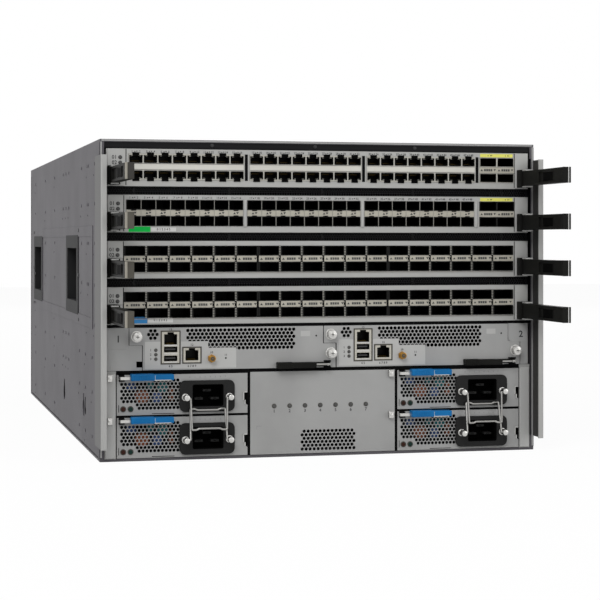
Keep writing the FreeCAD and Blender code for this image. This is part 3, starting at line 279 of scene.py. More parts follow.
# Gold plate on the clock socket, and a darker copy of it as painted shade on jack springs that lie in shade.
GOLD = brushed("gold_plated_connector", "#a67c38", "#7c5a26", 0.3, 0.2)
SHADED_GOLD = brushed("gold_in_painted_shade", "#4a3c1c", "#3a2f16", 0.4, 0.2)
# Black-oxide screw heads and pins.
SCREW = coated("black_screw_head", "#2c2c2d", "#222223", 0.4, 0.4, 0.01, 0.4)

# CAD nodes of two tones: cages bright or dark at the lip with painted shade inside, faces painted in front
# only with painted shade behind.
NOSE_Y = FACE_Y - 0.6                       # mouths of the cages
COPPER_CAGE = socket_metal("nickel_jack_frame", "#bab8b0", "#080808", NOSE_Y, 0.5, 0.42, 0.15)
FIBRE_CAGE = socket_metal("pressed_cage_mouth", "#1d1d1c", "#060606", NOSE_Y, 0.5, 0.42, 0.35)
WIDE_CAGE = socket_metal("pressed_wide_cage_mouth", "#191918", "#060606", NOSE_Y, 0.5, 0.42, 0.35)
JACK = socket_metal("nickel_socket_frame", "#c6c3b8", "#0c0c0b", NOSE_Y, 0.8, 0.36, 0.3)
# The card's tray behind its face and the shelf sheet behind its front are near black as painted shade.
CARD = faced("card_sheet", "#b3b3b0", "#a9a9a7", "#141415", FACE_Y + 2.4)
# The bent lip of a cable bracket is pale; the rest of the bracket is dark, as painted shade on its inner
# faces and as a match to the dark side it laps.
BRACKET = faced("bracket_sheet", "#b2b2b0", "#ababa9", "#403f3e", FACE_Y - 22.4)
GUIDE = faced("shelf_sheet", "#a6a6a4", "#9f9f9d", "#1b1b1c", FACE_Y + 1.0)

SLOT_FINISH = {"panel_paint": SIDE, "front_sheet": FRONT, "black_sheet": BLACK, "board": BOARD,
               "card_face": CARD,
               "cage_metal": WIDE_CAGE, "lever_black": LEVER, "inlet_black": INLET, "bail_wire": WIRE,
               "latch_blue": NICKEL, "socket_metal": JACK, "tray_metal": INNER, "fan_black": FAN}
# Pieces whose finish differs from the rest of their slot.
# Painted shade: the card guides, the status panel and the CAD bodies behind the supply and supervisor face
# sheets are near black.
OWN_FINISH = {"port_cages_1": COPPER_CAGE, "port_cages_2": FIBRE_CAGE, "card_guides": SHADE_BLACK,
              "bay_frame": GUIDE,
              "status_panel": SHADE_BLACK, "front_brackets": BRACKET, "front_lintel": BLACK, "handle_cups": CUP}
OWN_FINISH |= {f"power_supply_{n}": SHADE_BLACK for n in (1, 2, 3, 4)}
OWN_FINISH |= {f"supervisor_{n}": SHADE_BLACK for n in (1, 2)}
for part in frame["record"]["subparts"]:
    mesh = NODES[part["node"]].data
    mesh.materials.clear()
    mesh.materials.append(OWN_FINISH.get(part["node"], SLOT_FINISH[part["material_slot"]]))

# ---------------------------------------------------------------- ways of working


def fresh():
    """Back to object mode with nothing selected."""
    if bpy.context.mode != "OBJECT":
        bpy.ops.object.mode_set(mode="OBJECT")
    bpy.ops.object.select_all(action="DESELECT")


def chosen(*pieces):
    """Selects only these, the first one active."""
    fresh()
    for piece in pieces:
        piece.select_set(True)
    bpy.context.view_layer.objects.active = pieces[0]
    return pieces[0]


def rooted(piece):
    """Put the piece's place into its mesh."""
    chosen(piece)
    bpy.ops.object.transform_apply(location=True, rotation=True, scale=True)
    return piece


def modified(piece, kind, **settings):
    """Add a modifier and apply it."""
    chosen(piece)
    made = piece.modifiers.new(kind.lower(), kind)
    for key, value in settings.items():
        setattr(made, key, value)
    bpy.ops.object.modifier_apply(modifier=made.name)
    return piece


def eased(piece, width, segments=2):
    """Soft edges, as a moulding or a folded sheet has."""
    return modified(piece, "BEVEL", width=width * MM, segments=segments, limit_method="ANGLE",
                    angle_limit=math.radians(40), use_clamp_overlap=True)


def block(low, high, ease=0.0, segments=2):
    """A block between two corners in mm, with its edges eased."""
    fresh()
    size = [(b - a) * MM for a, b in zip(low, high)]
    middle = [(a + b) / 2 * MM for a, b in zip(low, high)]
    bpy.ops.mesh.primitive_cube_add(size=1, location=middle, scale=size)
    piece = rooted(bpy.context.object)
    return eased(piece, ease, segments) if ease else piece


AXES = {"X": (0, math.radians(90), 0), "Y": (math.radians(90), 0, 0), "Z": (0, 0, 0)}


def disc(centre, radius, length, axis, sides, ease):
    """A round post whose middle is at centre."""
    fresh()
    bpy.ops.mesh.primitive_cylinder_add(vertices=sides, radius=radius * MM, depth=length * MM,
                                        location=[c * MM for c in centre], rotation=AXES[axis])
    piece = rooted(bpy.context.object)
    if ease:
        eased(piece, ease)
    chosen(piece)
    bpy.ops.object.shade_smooth_by_angle(angle=math.radians(35))
    return piece


def joined(pieces):
    """Several pieces as one."""
    chosen(*pieces)
    if len(pieces) > 1:
        bpy.ops.object.join()
    return bpy.context.view_layer.objects.active


def moved(piece, offset):
    """A copy of the piece, shifted by an offset in mm."""
    chosen(piece)
    bpy.ops.object.duplicate(linked=False)
    bpy.ops.transform.translate(value=[c * MM for c in offset])
    return rooted(bpy.context.object)


def repeated(piece, offsets):
    """Copies of the piece at each offset in mm, as one."""
    everyone = [moved(piece, offset) for offset in offsets]
    bpy.data.objects.remove(piece)
    return joined(everyone)


def finished(piece, name, body, slot, *finishes):
    """Name the piece, give it its finish and let it ride."""
    rooted(piece)
    piece.name = name
    piece.data.name = name
    if not piece.data.materials:
        for finish in finishes:
            piece.data.materials.append(finish)
    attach(piece, body)
    return piece


def rectangle(low, high):
    """The corners of an upright rectangle, in X and Z."""
    return [(low[0], low[1]), (high[0], low[1]), (high[0], high[1]), (low[0], high[1])]


def ring(centre, radius, sides=16, turn=0.0):
    """The corners of a round hole."""
    return [(centre[0] + radius * math.cos(math.tau * k / sides + turn),
             centre[1] + radius * math.sin(math.tau * k / sides + turn)) for k in range(sides)]


def cushion(low, high, radius, steps):
    """A rectangle with round corners."""
    corners = []
    turns = [(high, high, -1, -1), (low, high, 1, -1), (low, low, 1, 1), (high, low, -1, 1)]
    for quarter, (across, up, right, rise) in enumerate(turns):
        x, z = across[0] + right * radius, up[1] + rise * radius
        angles = [math.radians(90 * (quarter + k / steps)) for k in range(steps + 1)]
        corners += [(x + radius * math.cos(a), z + radius * math.sin(a)) for a in angles]
    return corners


def hexagons(first, pitch, row, spans, radius):
    """Six-sided holes in staggered rows.

    first is the hole at the left of the top row. spans gives each row's shift to the right, in half
    pitches, and its number of holes.
    """
    return [ring((first[0] + (shift / 2 + k) * pitch, first[1] - level * row), radius, 6, math.radians(30))
            for level, (shift, count) in enumerate(spans) for k in range(count)]


def traced(drawing, places, closed):
    """A straight-sided line through places in mm."""
    line = drawing.splines.new("POLY")
    line.points.add(len(places) - 1)
    for point, place in zip(line.points, places):
        point.co = (*[c * MM for c in place], 1)
    line.use_cyclic_u = closed


def meshed(drawing):
    """The drawing as a mesh."""
    piece = bpy.data.objects.new(drawing.name, drawing)
    bpy.context.scene.collection.objects.link(piece)
    chosen(piece)
    bpy.ops.object.convert(target="MESH")
    return piece


def welded():
    """Joins the corners that meet, and turns every face outwards."""
    bpy.ops.object.mode_set(mode="EDIT")
    bpy.ops.mesh.select_all(action="SELECT")
    bpy.ops.mesh.remove_doubles(threshold=0.002 * MM)
    bpy.ops.mesh.normals_make_consistent(inside=False)
    bpy.ops.object.mode_set(mode="OBJECT")


def cut_sheet(outline, holes, y, thick, ease=0.0):
    """A flat sheet with holes, whose front is at y; outline and holes are corners in X and Z."""
    fresh()
    drawing = bpy.data.curves.new("sheet", "CURVE")
    drawing.dimensions = "2D"
    drawing.fill_mode = "BOTH"
    drawing.extrude = thick / 2 * MM
    for corners in [outline] + list(holes):
        traced(drawing, [(across, up, 0) for across, up in corners], True)
    piece = meshed(drawing)
    piece.rotation_euler = AXES["Y"]
    piece.location = (0, (y + thick / 2) * MM, 0)
    rooted(piece)
    welded()
    return eased(piece, ease) if ease else piece


INK_DEEP = 0.04


def printed(entries, y, size):
    """Plain numbers printed on a face: each entry is a text and the X and Z of its middle."""
    texts = []
    for words, across, up in entries:
        fresh()
        bpy.ops.object.text_add(location=(across * MM, y * MM, up * MM), rotation=AXES["Y"])
        text = bpy.context.object
        text.data.body = words
        text.data.size = size * MM
        text.data.align_x = "CENTER"
        text.data.align_y = "CENTER"
        text.data.resolution_u = 2
        text.data.extrude = INK_DEEP / 2 * MM
        text.data.offset = 0.022 * size * MM
        texts.append(text)
    chosen(*texts)
    bpy.ops.object.convert(target="MESH")
    return rooted(joined(texts))


def wire(points, radius, turn_radius):
    """A round wire along a path in mm, bent to one radius at each inner corner."""
    fresh()
    path = [Vector(points[0])]
    for before, here, after in zip(points, points[1:], points[2:]):
        here = Vector(here)
        inward, onward = (Vector(before) - here).normalized(), (Vector(after) - here).normalized()
        half = inward.angle(onward) / 2
        run = turn_radius / math.tan(half)
        centre = here + (inward + onward).normalized() * turn_radius / math.sin(half)
        start, end = here + inward * run - centre, here + onward * run - centre
        path += [centre + start.slerp(end, k / 5) for k in range(6)]
    path.append(Vector(points[-1]))
    drawing = bpy.data.curves.new("wire", "CURVE")
    drawing.dimensions = "3D"
    drawing.bevel_depth = radius * MM
    drawing.bevel_resolution = 3
    drawing.use_fill_caps = True
    traced(drawing, path, False)
    piece = meshed(drawing)
    welded()
    bpy.ops.object.shade_smooth_by_angle(angle=math.radians(40))
    return piece


def span(side, inner, outer):
    """Two distances from the middle as the low and high X of one side."""
    return sorted((side * inner, side * outer))


# ---------------------------------------------------------------- line cards
# Across a card, places are measured from its left end; upwards, from its foot.
ROWS = ((21.8, 31.4), (6.0, 15.6))          # upper and lower row of ports
STRIP = (ROWS[1][1], ROWS[0][0])            # between the rows
GROUP_PITCH = 118.5
# start of the first column, columns in a group, pitch, width of a mouth
COPPER = (21.4, 8, 14.15, 11.7)
FIBRE = (19.2, 8, 14.3, 13.0)
WIDE = (16.9, 6, 21.97, 18.8)
UPLINK = (2 * CARD_HALF - 51.8, 2, 18.5, 17.0)
PORTS = {1: COPPER, 2: FIBRE, 3: WIDE, 4: WIDE}
END_BLOCK = {1: (0.9, 18.5), 2: (0.9, 16.4), 3: (0.9, 16.0), 4: (0.9, 16.0)}
RIGHT_BLOCK = (2 * CARD_HALF - 14.2, 2 * CARD_HALF - 0.4)
END_LAMPS = (("01", 27.6), ("02", 22.5))    # mark and height
SPRINGS, SPRING_PITCH = 8, 1.02             # across a jack
POCKET = (24.0, 50.0)                       # in a lever's side, from its tip


def card_name(n):
    """The body of a card."""
    return f"line_card_{n}"


def columns(n):
    """Middle and group of each port column of a card, from its left end."""
    start, count, pitch, _ = PORTS[n]
    step = GROUP_PITCH if n < 3 else count * pitch
    return [(start + group * step + (k + 0.5) * pitch, group, k) for group in range(3) for k in range(count)]


def on_card(n, across, up):
    """A place on a card's face, in X and Z."""
    return across - CARD_HALF, CARD_BASE[n] + up


def plate(n, left, low, right, high, front, thick, ease):
    """A small plate on a card's face, its front that far ahead of it."""
    x0, z0 = on_card(n, left, low)
    x1, z1 = on_card(n, right, high)
    return block((x0, FACE_Y - front, z0), (x1, FACE_Y - front + thick, z1), ease, 1)


def end_blocks(n):
    """The separate plates at both ends of a face, the left one with two lamps and their numbers."""
    left, right = END_BLOCK[n]
    plates = [plate(n, left, 19.6, right, CARD_TALL - 0.1, 1.2, 1.2, 0.3),
              plate(n, left, 0.2, right - 0.8, 2.2, 1.0, 1.0, 0.3),
              plate(n, RIGHT_BLOCK[0], 0.6, RIGHT_BLOCK[1], CARD_TALL - 0.4, 1.2, 1.2, 0.3)]
    finished(joined(plates), f"end_plates_{n}", card_name(n), "card_face", FACE)
    # The seams beside the end plates are painted shade.
    seams = [plate(n, right, 1.0, right + 0.9, CARD_TALL - 0.4, 0.08, 0.2, 0),
             plate(n, RIGHT_BLOCK[0] - 0.7, 1.0, RIGHT_BLOCK[0], CARD_TALL - 0.4, 0.08, 0.2, 0)]
    finished(joined(seams), f"end_seams_{n}", card_name(n), "cage_metal", SHADE_BLACK)
    lamp_x = right - 5.2
    places = [on_card(n, lamp_x, up) for _, up in END_LAMPS]
    rims = [disc((x, FACE_Y - 1.3, z), 1.9, 0.6, "Y", 20, 0.15) for x, z in places]
    lenses = [disc((x, FACE_Y - 1.65, z), 1.25, 0.4, "Y", 16, 0.12) for x, z in places]
    finished(joined(rims), f"end_lamp_rims_{n}", card_name(n), "cage_metal", INK)
    finished(joined(lenses), f"end_lamps_{n}", card_name(n), "cage_metal", LENS)
    marks = [(word, *on_card(n, lamp_x - 5.6, up)) for word, up in END_LAMPS]
    finished(printed(marks, FACE_Y - 1.22, 5.0), f"end_numbers_{n}", card_name(n), "card_face", INK)


def intake(n):
    """The black drilled strip above a face that draws air into the card."""
    pitch, row, radius = 2.5, 2.15, 1.12
    low, high = on_card(n, 0.3, CARD_TALL - 0.2), on_card(n, 2 * CARD_HALF - 0.3, CARD_TALL + 7.9)
    count = int((high[0] - low[0] - 2) / pitch)
    spans = [(0, count), (1, count - 1), (0, count)]
    first = (low[0] + (high[0] - low[0] - (count - 1) * pitch) / 2, high[1] - 1.7)
    holes = hexagons(first, pitch, row, spans, radius)
    strip = cut_sheet(rectangle(low, high), holes, FACE_Y + 1.4, 0.5)
    lips = [block((low[0], FACE_Y + 0.3, z), (high[0], FACE_Y + 1.9, z + 0.5), 0.1, 1)
            for z in (low[1] + 0.1, high[1] - 0.5)]
    finished(joined([strip] + lips), f"intake_strip_{n}", card_name(n), "black_sheet", BLACK)
    foam = block((low[0] + 26, FACE_Y + 5.2, low[1] + 3.0), (high[0] - 26, FACE_Y + 6.0, high[1] - 0.2),
                 0.2, 1)
    finished(foam, f"intake_filter_{n}", card_name(n), "black_sheet", SHADE_BLACK)


def triangle(x, z, half, up, y):
    """A small printed arrow that points up or down."""
    sign = 1 if up else -1
    corners = [(x - half, z - sign * half * 0.8), (x, z + sign * half * 0.8),
               (x + half, z - sign * half * 0.8)]
    return cut_sheet(corners if up else corners[::-1], [], y, 0.06)


def port_marks(n, middles, wide, lamps, name):
    """The strip between two rows of cages: an arrow for each port, and between them its small lamps."""
    y = FACE_Y - 0.5
    arrow = on_card(n, middles[0] - wide, (STRIP[0] + STRIP[1]) / 2)
    arrows = joined([triangle(arrow[0], arrow[1], 1.35, True, y - 0.06),
                     triangle(arrow[0] + 2 * wide, arrow[1], 1.35, False, y - 0.06)])
    offsets = [(m - middles[0], 0, 0) for m in middles]
    finished(repeated(arrows, offsets), f"{name}_arrows_{n}", card_name(n), "card_face", INK)
    if lamps:
        row = [block((arrow[0] + wide + (k - 1.5) * 2.3 - 0.95, y - 0.14, arrow[1] - 1.15),
                     (arrow[0] + wide + (k - 1.5) * 2.3 + 0.95, y + 0.1, arrow[1] + 1.15)) for k in range(4)]
        finished(repeated(joined(row), offsets), f"{name}_lamps_{n}", card_name(n), "cage_metal", LENS)


def strip_plate(n, left, right):
    """The beige light-pipe strip between the two rows of cages."""
    return plate(n, left, STRIP[0] + 0.3, right, STRIP[1] - 0.3, 0.5, 0.5, 0.12)


def uplinks(n):
    """The four wide ports at the right of the first two cards, with their yellow mark."""
    start, count, pitch, _ = UPLINK
    finished(strip_plate(n, start, start + count * pitch), f"uplink_strip_{n}", card_name(n), "card_face",
             BEIGE)
    middles = [start + (k + 0.5) * pitch for k in range(count)]
    port_marks(n, middles, 6.9, True, "uplink")
    finished(plate(n, start + 1.0, ROWS[0][1] + 0.3, start + count * pitch - 1.6, CARD_TALL - 1.0, 0.14,
                   0.14, 0),
             f"yellow_mark_{n}", card_name(n), "card_face", YELLOW_LABEL)
    arrows = [triangle(*on_card(n, m, CARD_TALL - 2.6), 0.7, True, FACE_Y - 0.2) for m in middles]
    numbers = printed([(str(49 + 2 * k), *on_card(n, m + 3.2, CARD_TALL - 2.7))
                       for k, m in enumerate(middles)],
                      FACE_Y - 0.18, 2.2)
    finished(joined(arrows + [numbers]), f"uplink_numbers_{n}", card_name(n), "card_face", INK)


def port_numbers(n):
    """Printed numbers and arrows along the top of the face, one for each port of a column."""
    entries, arrows = [], []
    for k, (middle, _, _) in enumerate(columns(n)):
        entries += [(str(2 * k + 1), *on_card(n, middle - 3.6, CARD_TALL - 2.7)),
                    (str(2 * k + 2), *on_card(n, middle + 3.8, CARD_TALL - 2.7))]
        arrows.append((middle, 0, 0))
    x, z = on_card(n, 0, CARD_TALL - 2.6)
    pair = joined([triangle(x - 0.9, z, 0.85, True, FACE_Y - 0.06),
                   triangle(x + 1.0, z, 0.85, False, FACE_Y - 0.06)])
    marks = joined([printed(entries, FACE_Y - 0.02, 2.9), repeated(pair, arrows)])
    finished(marks, f"port_numbers_{n}", card_name(n), "card_face", INK)


def jack_contacts(n):
    """Gilt springs in each copper jack, gold darkened as painted shade, over the painted shade of the mouth,
    with a pair of lamps at the mouth.
    """
    wide = COPPER[3]
    x, z = on_card(n, 0, 0)
    springs, lamps = [], []
    for foot, outer, rise in ((ROWS[0][0] + 1.75, ROWS[0][1] - 1.55, 1.3),
                              (ROWS[1][1] - 1.75, ROWS[1][0] + 0.25, -1.3)):
        springs += [block((x + (k - 3.5) * SPRING_PITCH - 0.22, FACE_Y + 5.5, z + foot + min(0, rise)),
                          (x + (k - 3.5) * SPRING_PITCH + 0.22, FACE_Y + 12.0, z + foot + max(0, rise)))
                    for k in range(SPRINGS)]
        lamps += [block((x + side * (wide / 2 - 1.5) - 1.1, NOSE_Y - 0.08, z + outer),
                        (x + side * (wide / 2 - 1.5) + 1.1, NOSE_Y + 0.3, z + outer + 1.3), 0.1, 1)
                  for side in (-1, 1)]
    offsets = [(middle, 0, 0) for middle, _, _ in columns(n)]
    finished(repeated(joined(springs), offsets), f"jack_contacts_{n}", card_name(n), "socket_metal", SHADED_GOLD)
    finished(repeated(joined(lamps), offsets), f"jack_lamps_{n}", card_name(n), "socket_metal", MILKY)
    jack_mouths(n)


def jack_mouths(n):
    """Near-black painted shade in each jack's mouth, a thin sheet shaped like a tee, with the opening cut
    through it.
    """
    wide, tall, tab_wide, tab = 12.9, 7.3, 6.8, 2.5
    x, z = on_card(n, 0, 0)
    plates = []
    for way in (1, -1):
        foot = ROWS[0][0] + 0.9 if way > 0 else ROWS[1][1] - 0.9
        profile = [(-wide / 2, 0), (wide / 2, 0), (wide / 2, tall), (tab_wide / 2, tall),
                   (tab_wide / 2, tall + tab),
                   (-tab_wide / 2, tall + tab), (-tab_wide / 2, tall), (-wide / 2, tall)]
        inner = [(-wide / 2 + 1.5, 1.2), (wide / 2 - 1.5, 1.2), (wide / 2 - 1.5, tall - 0.7),
                 (-wide / 2 + 1.5, tall - 0.7)]
        outline = [(x + across, z + foot + way * up) for across, up in profile][::way]
        hole = [(x + across, z + foot + way * up) for across, up in inner][::way]
        plates.append(cut_sheet(outline, [hole], NOSE_Y - 0.08, 0.1))
    offsets = [(middle, 0, 0) for middle, _, _ in columns(n)]
    finished(repeated(joined(plates), offsets), f"jack_mouths_{n}", card_name(n), "inlet_black", PAINTED_SHADE)


def copper_card():
    """Card 1: three groups of network jacks, with a dark slot of painted shade after each."""
    start, count, pitch, _ = COPPER
    jack_contacts(1)
    port_numbers(1)
    slots = [plate(1, start + group * GROUP_PITCH + count * pitch + 0.7, ROWS[1][0] - 0.2,
                   start + group * GROUP_PITCH + count * pitch + 3.7, ROWS[0][1] + 0.2, 0.12, 0.12, 0)
             for group in range(3)]
    finished(joined(slots), "group_slots_1", card_name(1), "black_sheet", SHADE_BLACK)
    rail = joined([plate(1, start + group * GROUP_PITCH + 0.3, STRIP[0] + 0.5,
                         start + group * GROUP_PITCH + count * pitch - 0.3, STRIP[1] - 0.5, 0.75, 0.75, 0.25)
                   for group in range(3)])
    finished(rail, "jack_rail_1", card_name(1), "cage_metal", COPPER_RAIL)


def fibre_card():
    """Card 2: three groups of small cages with a beige strip, and a pale bar after each group."""
    start, count, pitch, _ = FIBRE
    port_numbers(2)
    bars, strips = [], []
    for group in range(3):
        left = start + group * GROUP_PITCH
        bars.append(plate(2, left + count * pitch + 0.1, ROWS[1][0] - 0.9, left + count * pitch + 3.7,
                          ROWS[0][1] + 0.2, 1.6, 1.6, 0.8))
        strips.append(strip_plate(2, left, left + count * pitch))
    finished(joined(bars), "group_bars_2", card_name(2), "card_face", FACE)
    finished(joined(strips), "strip_2", card_name(2), "card_face", BEIGE)
    middles = [middle for middle, _, _ in columns(2)]
    port_marks(2, middles, 1.5, False, "port")
    x, z = on_card(2, 0, (STRIP[0] + STRIP[1]) / 2)
    tabs = [block((x - 2.4, FACE_Y - 1.0, z + side * 2.7 - 0.55), (x + 2.4, FACE_Y, z + side * 2.7 + 0.55),
                  0.2, 1)
            for side in (-1, 1)]
    finished(repeated(joined(tabs), [(m, 0, 0) for m in middles]), "cage_latch_tabs_2", card_name(2),
             "cage_metal", SHADE_BLACK)
    dividers = block((x - 0.25, NOSE_Y - 0.25, CARD_BASE[2] + ROWS[1][0]),
                     (x + 0.25, NOSE_Y + 0.2, CARD_BASE[2] + ROWS[0][1]), 0.08, 1)
    offsets = [(start + group * GROUP_PITCH + k * pitch, 0, 0) for group in range(3) for k in range(1, count)]
    finished(repeated(dividers, offsets), "cage_dividers_2", card_name(2), "cage_metal", CAGE)


def wide_card(n):
    """Cards 3 and 4: cages for wide modules, with sprung ribs between them."""
    start, count, pitch, _ = WIDE
    finished(strip_plate(n, start + 0.3, start + 3 * count * pitch - 0.3), f"strip_{n}", card_name(n),
             "card_face", BEIGE)
    port_marks(n, [middle for middle, _, _ in columns(n)], 7.9, True, "port")
    x, z = on_card(n, start - 0.6, 0)
    ribs = []
    for low, high in ROWS:
        step = (high - low) / 6
        ribs += [block((x - 0.85, NOSE_Y - 0.5, z + low + (k + 0.2) * step),
                       (x + 0.85, NOSE_Y + 0.1, z + low + (k + 0.72) * step), 0.12, 1) for k in range(6)]
    ribs += [block((x - 1.2, NOSE_Y - 0.55, z + STRIP[0] + 0.5 + k * 3.6),
                   (x - 0.3, NOSE_Y + 0.1, z + STRIP[0] + 1.6 + k * 3.6), 0.1, 1) for k in (0, 1)]
    offsets = [(k * pitch, 0, 0) for k in range(1, 3 * count) if k % count]
    finished(repeated(joined(ribs), offsets), f"cage_ribs_{n}", card_name(n), "cage_metal", CAGE)
    line = plate(n, start + 0.4, ROWS[1][0] - 1.0, start + 3 * count * pitch - 0.4, ROWS[1][0] - 0.5, 0.75,
                 0.4, 0.08)
    finished(line, f"cage_foot_line_{n}", card_name(n), "cage_metal", CAGE)
    # The seams across the strip are painted shade.
    seams = [plate(n, start + k * pitch - 1.7, STRIP[0], start + k * pitch + 0.5, STRIP[1], 0.56, 0.1, 0)
             for k in range(1, 3 * count)]
    finished(joined(seams), f"strip_seams_{n}", card_name(n), "black_sheet", SHADE_BLACK)


def spring_fingers(n, kind, groups):
    """Small springs round the mouth of every cage that press on a module."""
    start, count, pitch, wide = kind
    x, z = on_card(n, 0, 0)
    fingers = []
    for low, high in ROWS:
        for edge in (low + 0.6, high - 0.6):
            fingers += [block((x + k * wide / 5 - 0.8, FACE_Y + 0.6, z + edge - 0.12),
                              (x + k * wide / 5 + 0.8, FACE_Y + 5.0, z + edge + 0.12))
                              for k in (-2, -1, 0, 1, 2)]
    offsets = [(start + group + (k + 0.5) * pitch, 0, 0) for group in groups for k in range(count)]
    return repeated(joined(fingers), offsets)


def lever_pocket(low, high, side):
    """The open pocket of a lever's moulding on one side: a floor of painted shade inside a thin raised rim.
    """
    x = high[0] if side > 0 else low[0]
    start, end = (low[1] + reach for reach in POCKET)
    x0, x1 = sorted((x - side * 0.2, x + side * 0.12))
    dark = block((x0, start, low[2] + 2.9), (x1, end, high[2] - 3.2), 0.1, 1)
    x0, x1 = sorted((x - side * 0.2, x + side * 0.25))
    rims = [block((x0, y0, z0), (x1, y1, z1), 0.1, 1) for y0, y1, z0, z1 in (
        (start - 0.8, start + 0.2, low[2] + 2.2, high[2] - 2.5),
        (end - 0.2, end + 0.8, low[2] + 2.2, high[2] - 2.5),
        (start - 0.8, end + 0.8, high[2] - 3.3, high[2] - 2.5),
        (low[1] + 4.0, low[1] + 98.0, low[2] + 0.1, low[2] + 0.9))]
    return dark, joined(rims)


def lever_trim(n, side):
    """The edge and end plate at a lever's tip, the pockets in its sides, its housing and its pivot pin."""
    word = "right" if side > 0 else "left"
    body = f"card_lever_{n}_{word}"
    low, high = limits(body)
    outer = high[0] if side > 0 else low[0]
    strips = [("edge", -0.1, 2.3, BAND), ("end", 2.3, 8.3, LEVER_END[n])]
    # On a right lever the pale line beside the edge is a painted highlight.
    if side > 0:
        strips = [("edge", 0.1, 1.9, LEVER), ("line", 1.9, 2.7, CUT_EDGE_AND_HIGHLIGHT), ("end", 2.7, 8.3, LEVER)]
    for name, first, last, finish in strips:
        x0, x1 = sorted((outer - side * first, outer - side * last))
        front = low[1] - (0.2 if name == "end" else 0.45)
        piece = block((x0, front, low[2] - 0.2), (x1, low[1] + 0.8, high[2] + 0.2), 0.2, 1)
        finished(piece, f"lever_{name}_{n}_{word}", body, "cage_metal", finish)
    pockets = [lever_pocket(low, high, way) for way in (-1, 1)]
    finished(joined([dark for dark, _ in pockets]), f"lever_pocket_{n}_{word}", body, "lever_black", PAINTED_SHADE)
    finished(joined([rim for _, rim in pockets]), f"lever_rib_{n}_{word}", body, "lever_black", LEVER)
    middle = (low[0] + high[0]) / 2
    x0, x1 = span(side, HALF - 6.4, HALF - 18.2)
    foot, head = low[2] - 1.6, high[2] + 1.6
    housing = [block((x0, FACE_Y - 10.2, foot), (x1, FACE_Y - 0.5, head), 0.5, 2)]
    housing += [block((middle - 3.4, FACE_Y - 19.5, z0), (middle + 3.4, FACE_Y - 10.0, z0 + 1.3), 0.3, 2)
                for z0 in (foot, head - 1.3)]
    finished(joined(housing), f"lever_housing_{n}_{word}", card_name(n), "lever_black", LEVER)
    pin = disc((middle, FACE_Y - 16.0, (low[2] + high[2]) / 2), 1.7, high[2] - low[2] + 4.2, "Z", 20, 0.3)
    finished(pin, f"lever_pin_{n}_{word}", card_name(n), "cage_metal", SCREW)


def face_label(n, finish, name, low, high):
    """A coloured label under the ports, with a white field and plain numbers beside it."""
    (left, foot), (right, head) = low, high
    body = card_name(n)
    finished(plate(n, left, foot, right, head, 0.12, 0.12, 0), name, body, "card_face", finish)
    field = plate(n, right + 0.6, foot + 0.6, right + 25.0, head - 0.8, 0.1, 0.1, 0)
    finished(field, name + "_field", body, "card_face", WHITE_LABEL)
    middle = on_card(n, right + 12.8, (foot + head) / 2 - 0.1)
    numbers = printed([("0 1 2 3 4 5", *middle)], FACE_Y - 0.12, 3.0)
    finished(numbers, name + "_numbers", body, "card_face", INK)


for card in (1, 2, 3, 4):
    end_blocks(card)
    for lever_side in (-1, 1):
        lever_trim(card, lever_side)
for card in (2, 3, 4):
    intake(card)
for card in (1, 2):
    uplinks(card)
copper_card()
fibre_card()
for card in (3, 4):
    wide_card(card)
wide_groups = [k * WIDE[1] * WIDE[2] for k in range(3)]
# The springs inside the cages are near black as painted shade.
for card, kind, groups in ((2, FIBRE, [k * GROUP_PITCH for k in range(3)]), (3, WIDE, wide_groups),
                           (4, WIDE, wide_groups)):
    finished(spring_fingers(card, kind, groups), f"spring_fingers_{card}", card_name(card), "cage_metal",
             SHADE_BLACK)
face_label(2, GREEN_LABEL, "green_mark_2", (21.5, 0.4), (42.6, 5.5))
face_label(4, BLUE_LABEL, "blue_mark_4", (26.0, 1.1), (39.6, 7.2))

# ---------------------------------------------------------------- supervisors
# Across a supervisor, places are measured from the left end of its upper face; upwards, from its foot.
SHEET = 0.4                                 # face sheets stand this far ahead of the frame
SHEET_Y = FACE_Y - SHEET
SUPER_TALL = SUPER_TOP - SUPER_LOW
SUPER_WIDE = 192.1
SUPER_STEP = 12.8                           # the lower half sits this far to the right
SUPER_MID = 24.0
VENT_PITCH, VENT_ROW, VENT_HOLE = 4.04, 3.48, 1.84
STACK = (31.2, 6.3, 49.2, 37.4)
SINGLE = (52.2, 6.7, 69.8, 21.6)
CLOCK = (80.3, 10.7)
DOT = (94.4, 10.8)                          # a pin hole beside the clock socket
LAMP_AT, LAMPS_UP = 25.8, (19.4, 15.1, 10.8)


def on_super(n, across, up):
    """A place on a supervisor's face, in X and Z."""
    return SUPER_LEFT[n] + across, SUPER_LOW + up


def corners(n, points):
    """Several places on a supervisor's face."""
    return [on_super(n, *point) for point in points]


def window(n, places, grow):
    """The corners of a window given by its left, foot, right and head."""
    left, low, right, high = places
    return corners(n, rectangle((left - grow, low - grow), (right + grow, high + grow)))


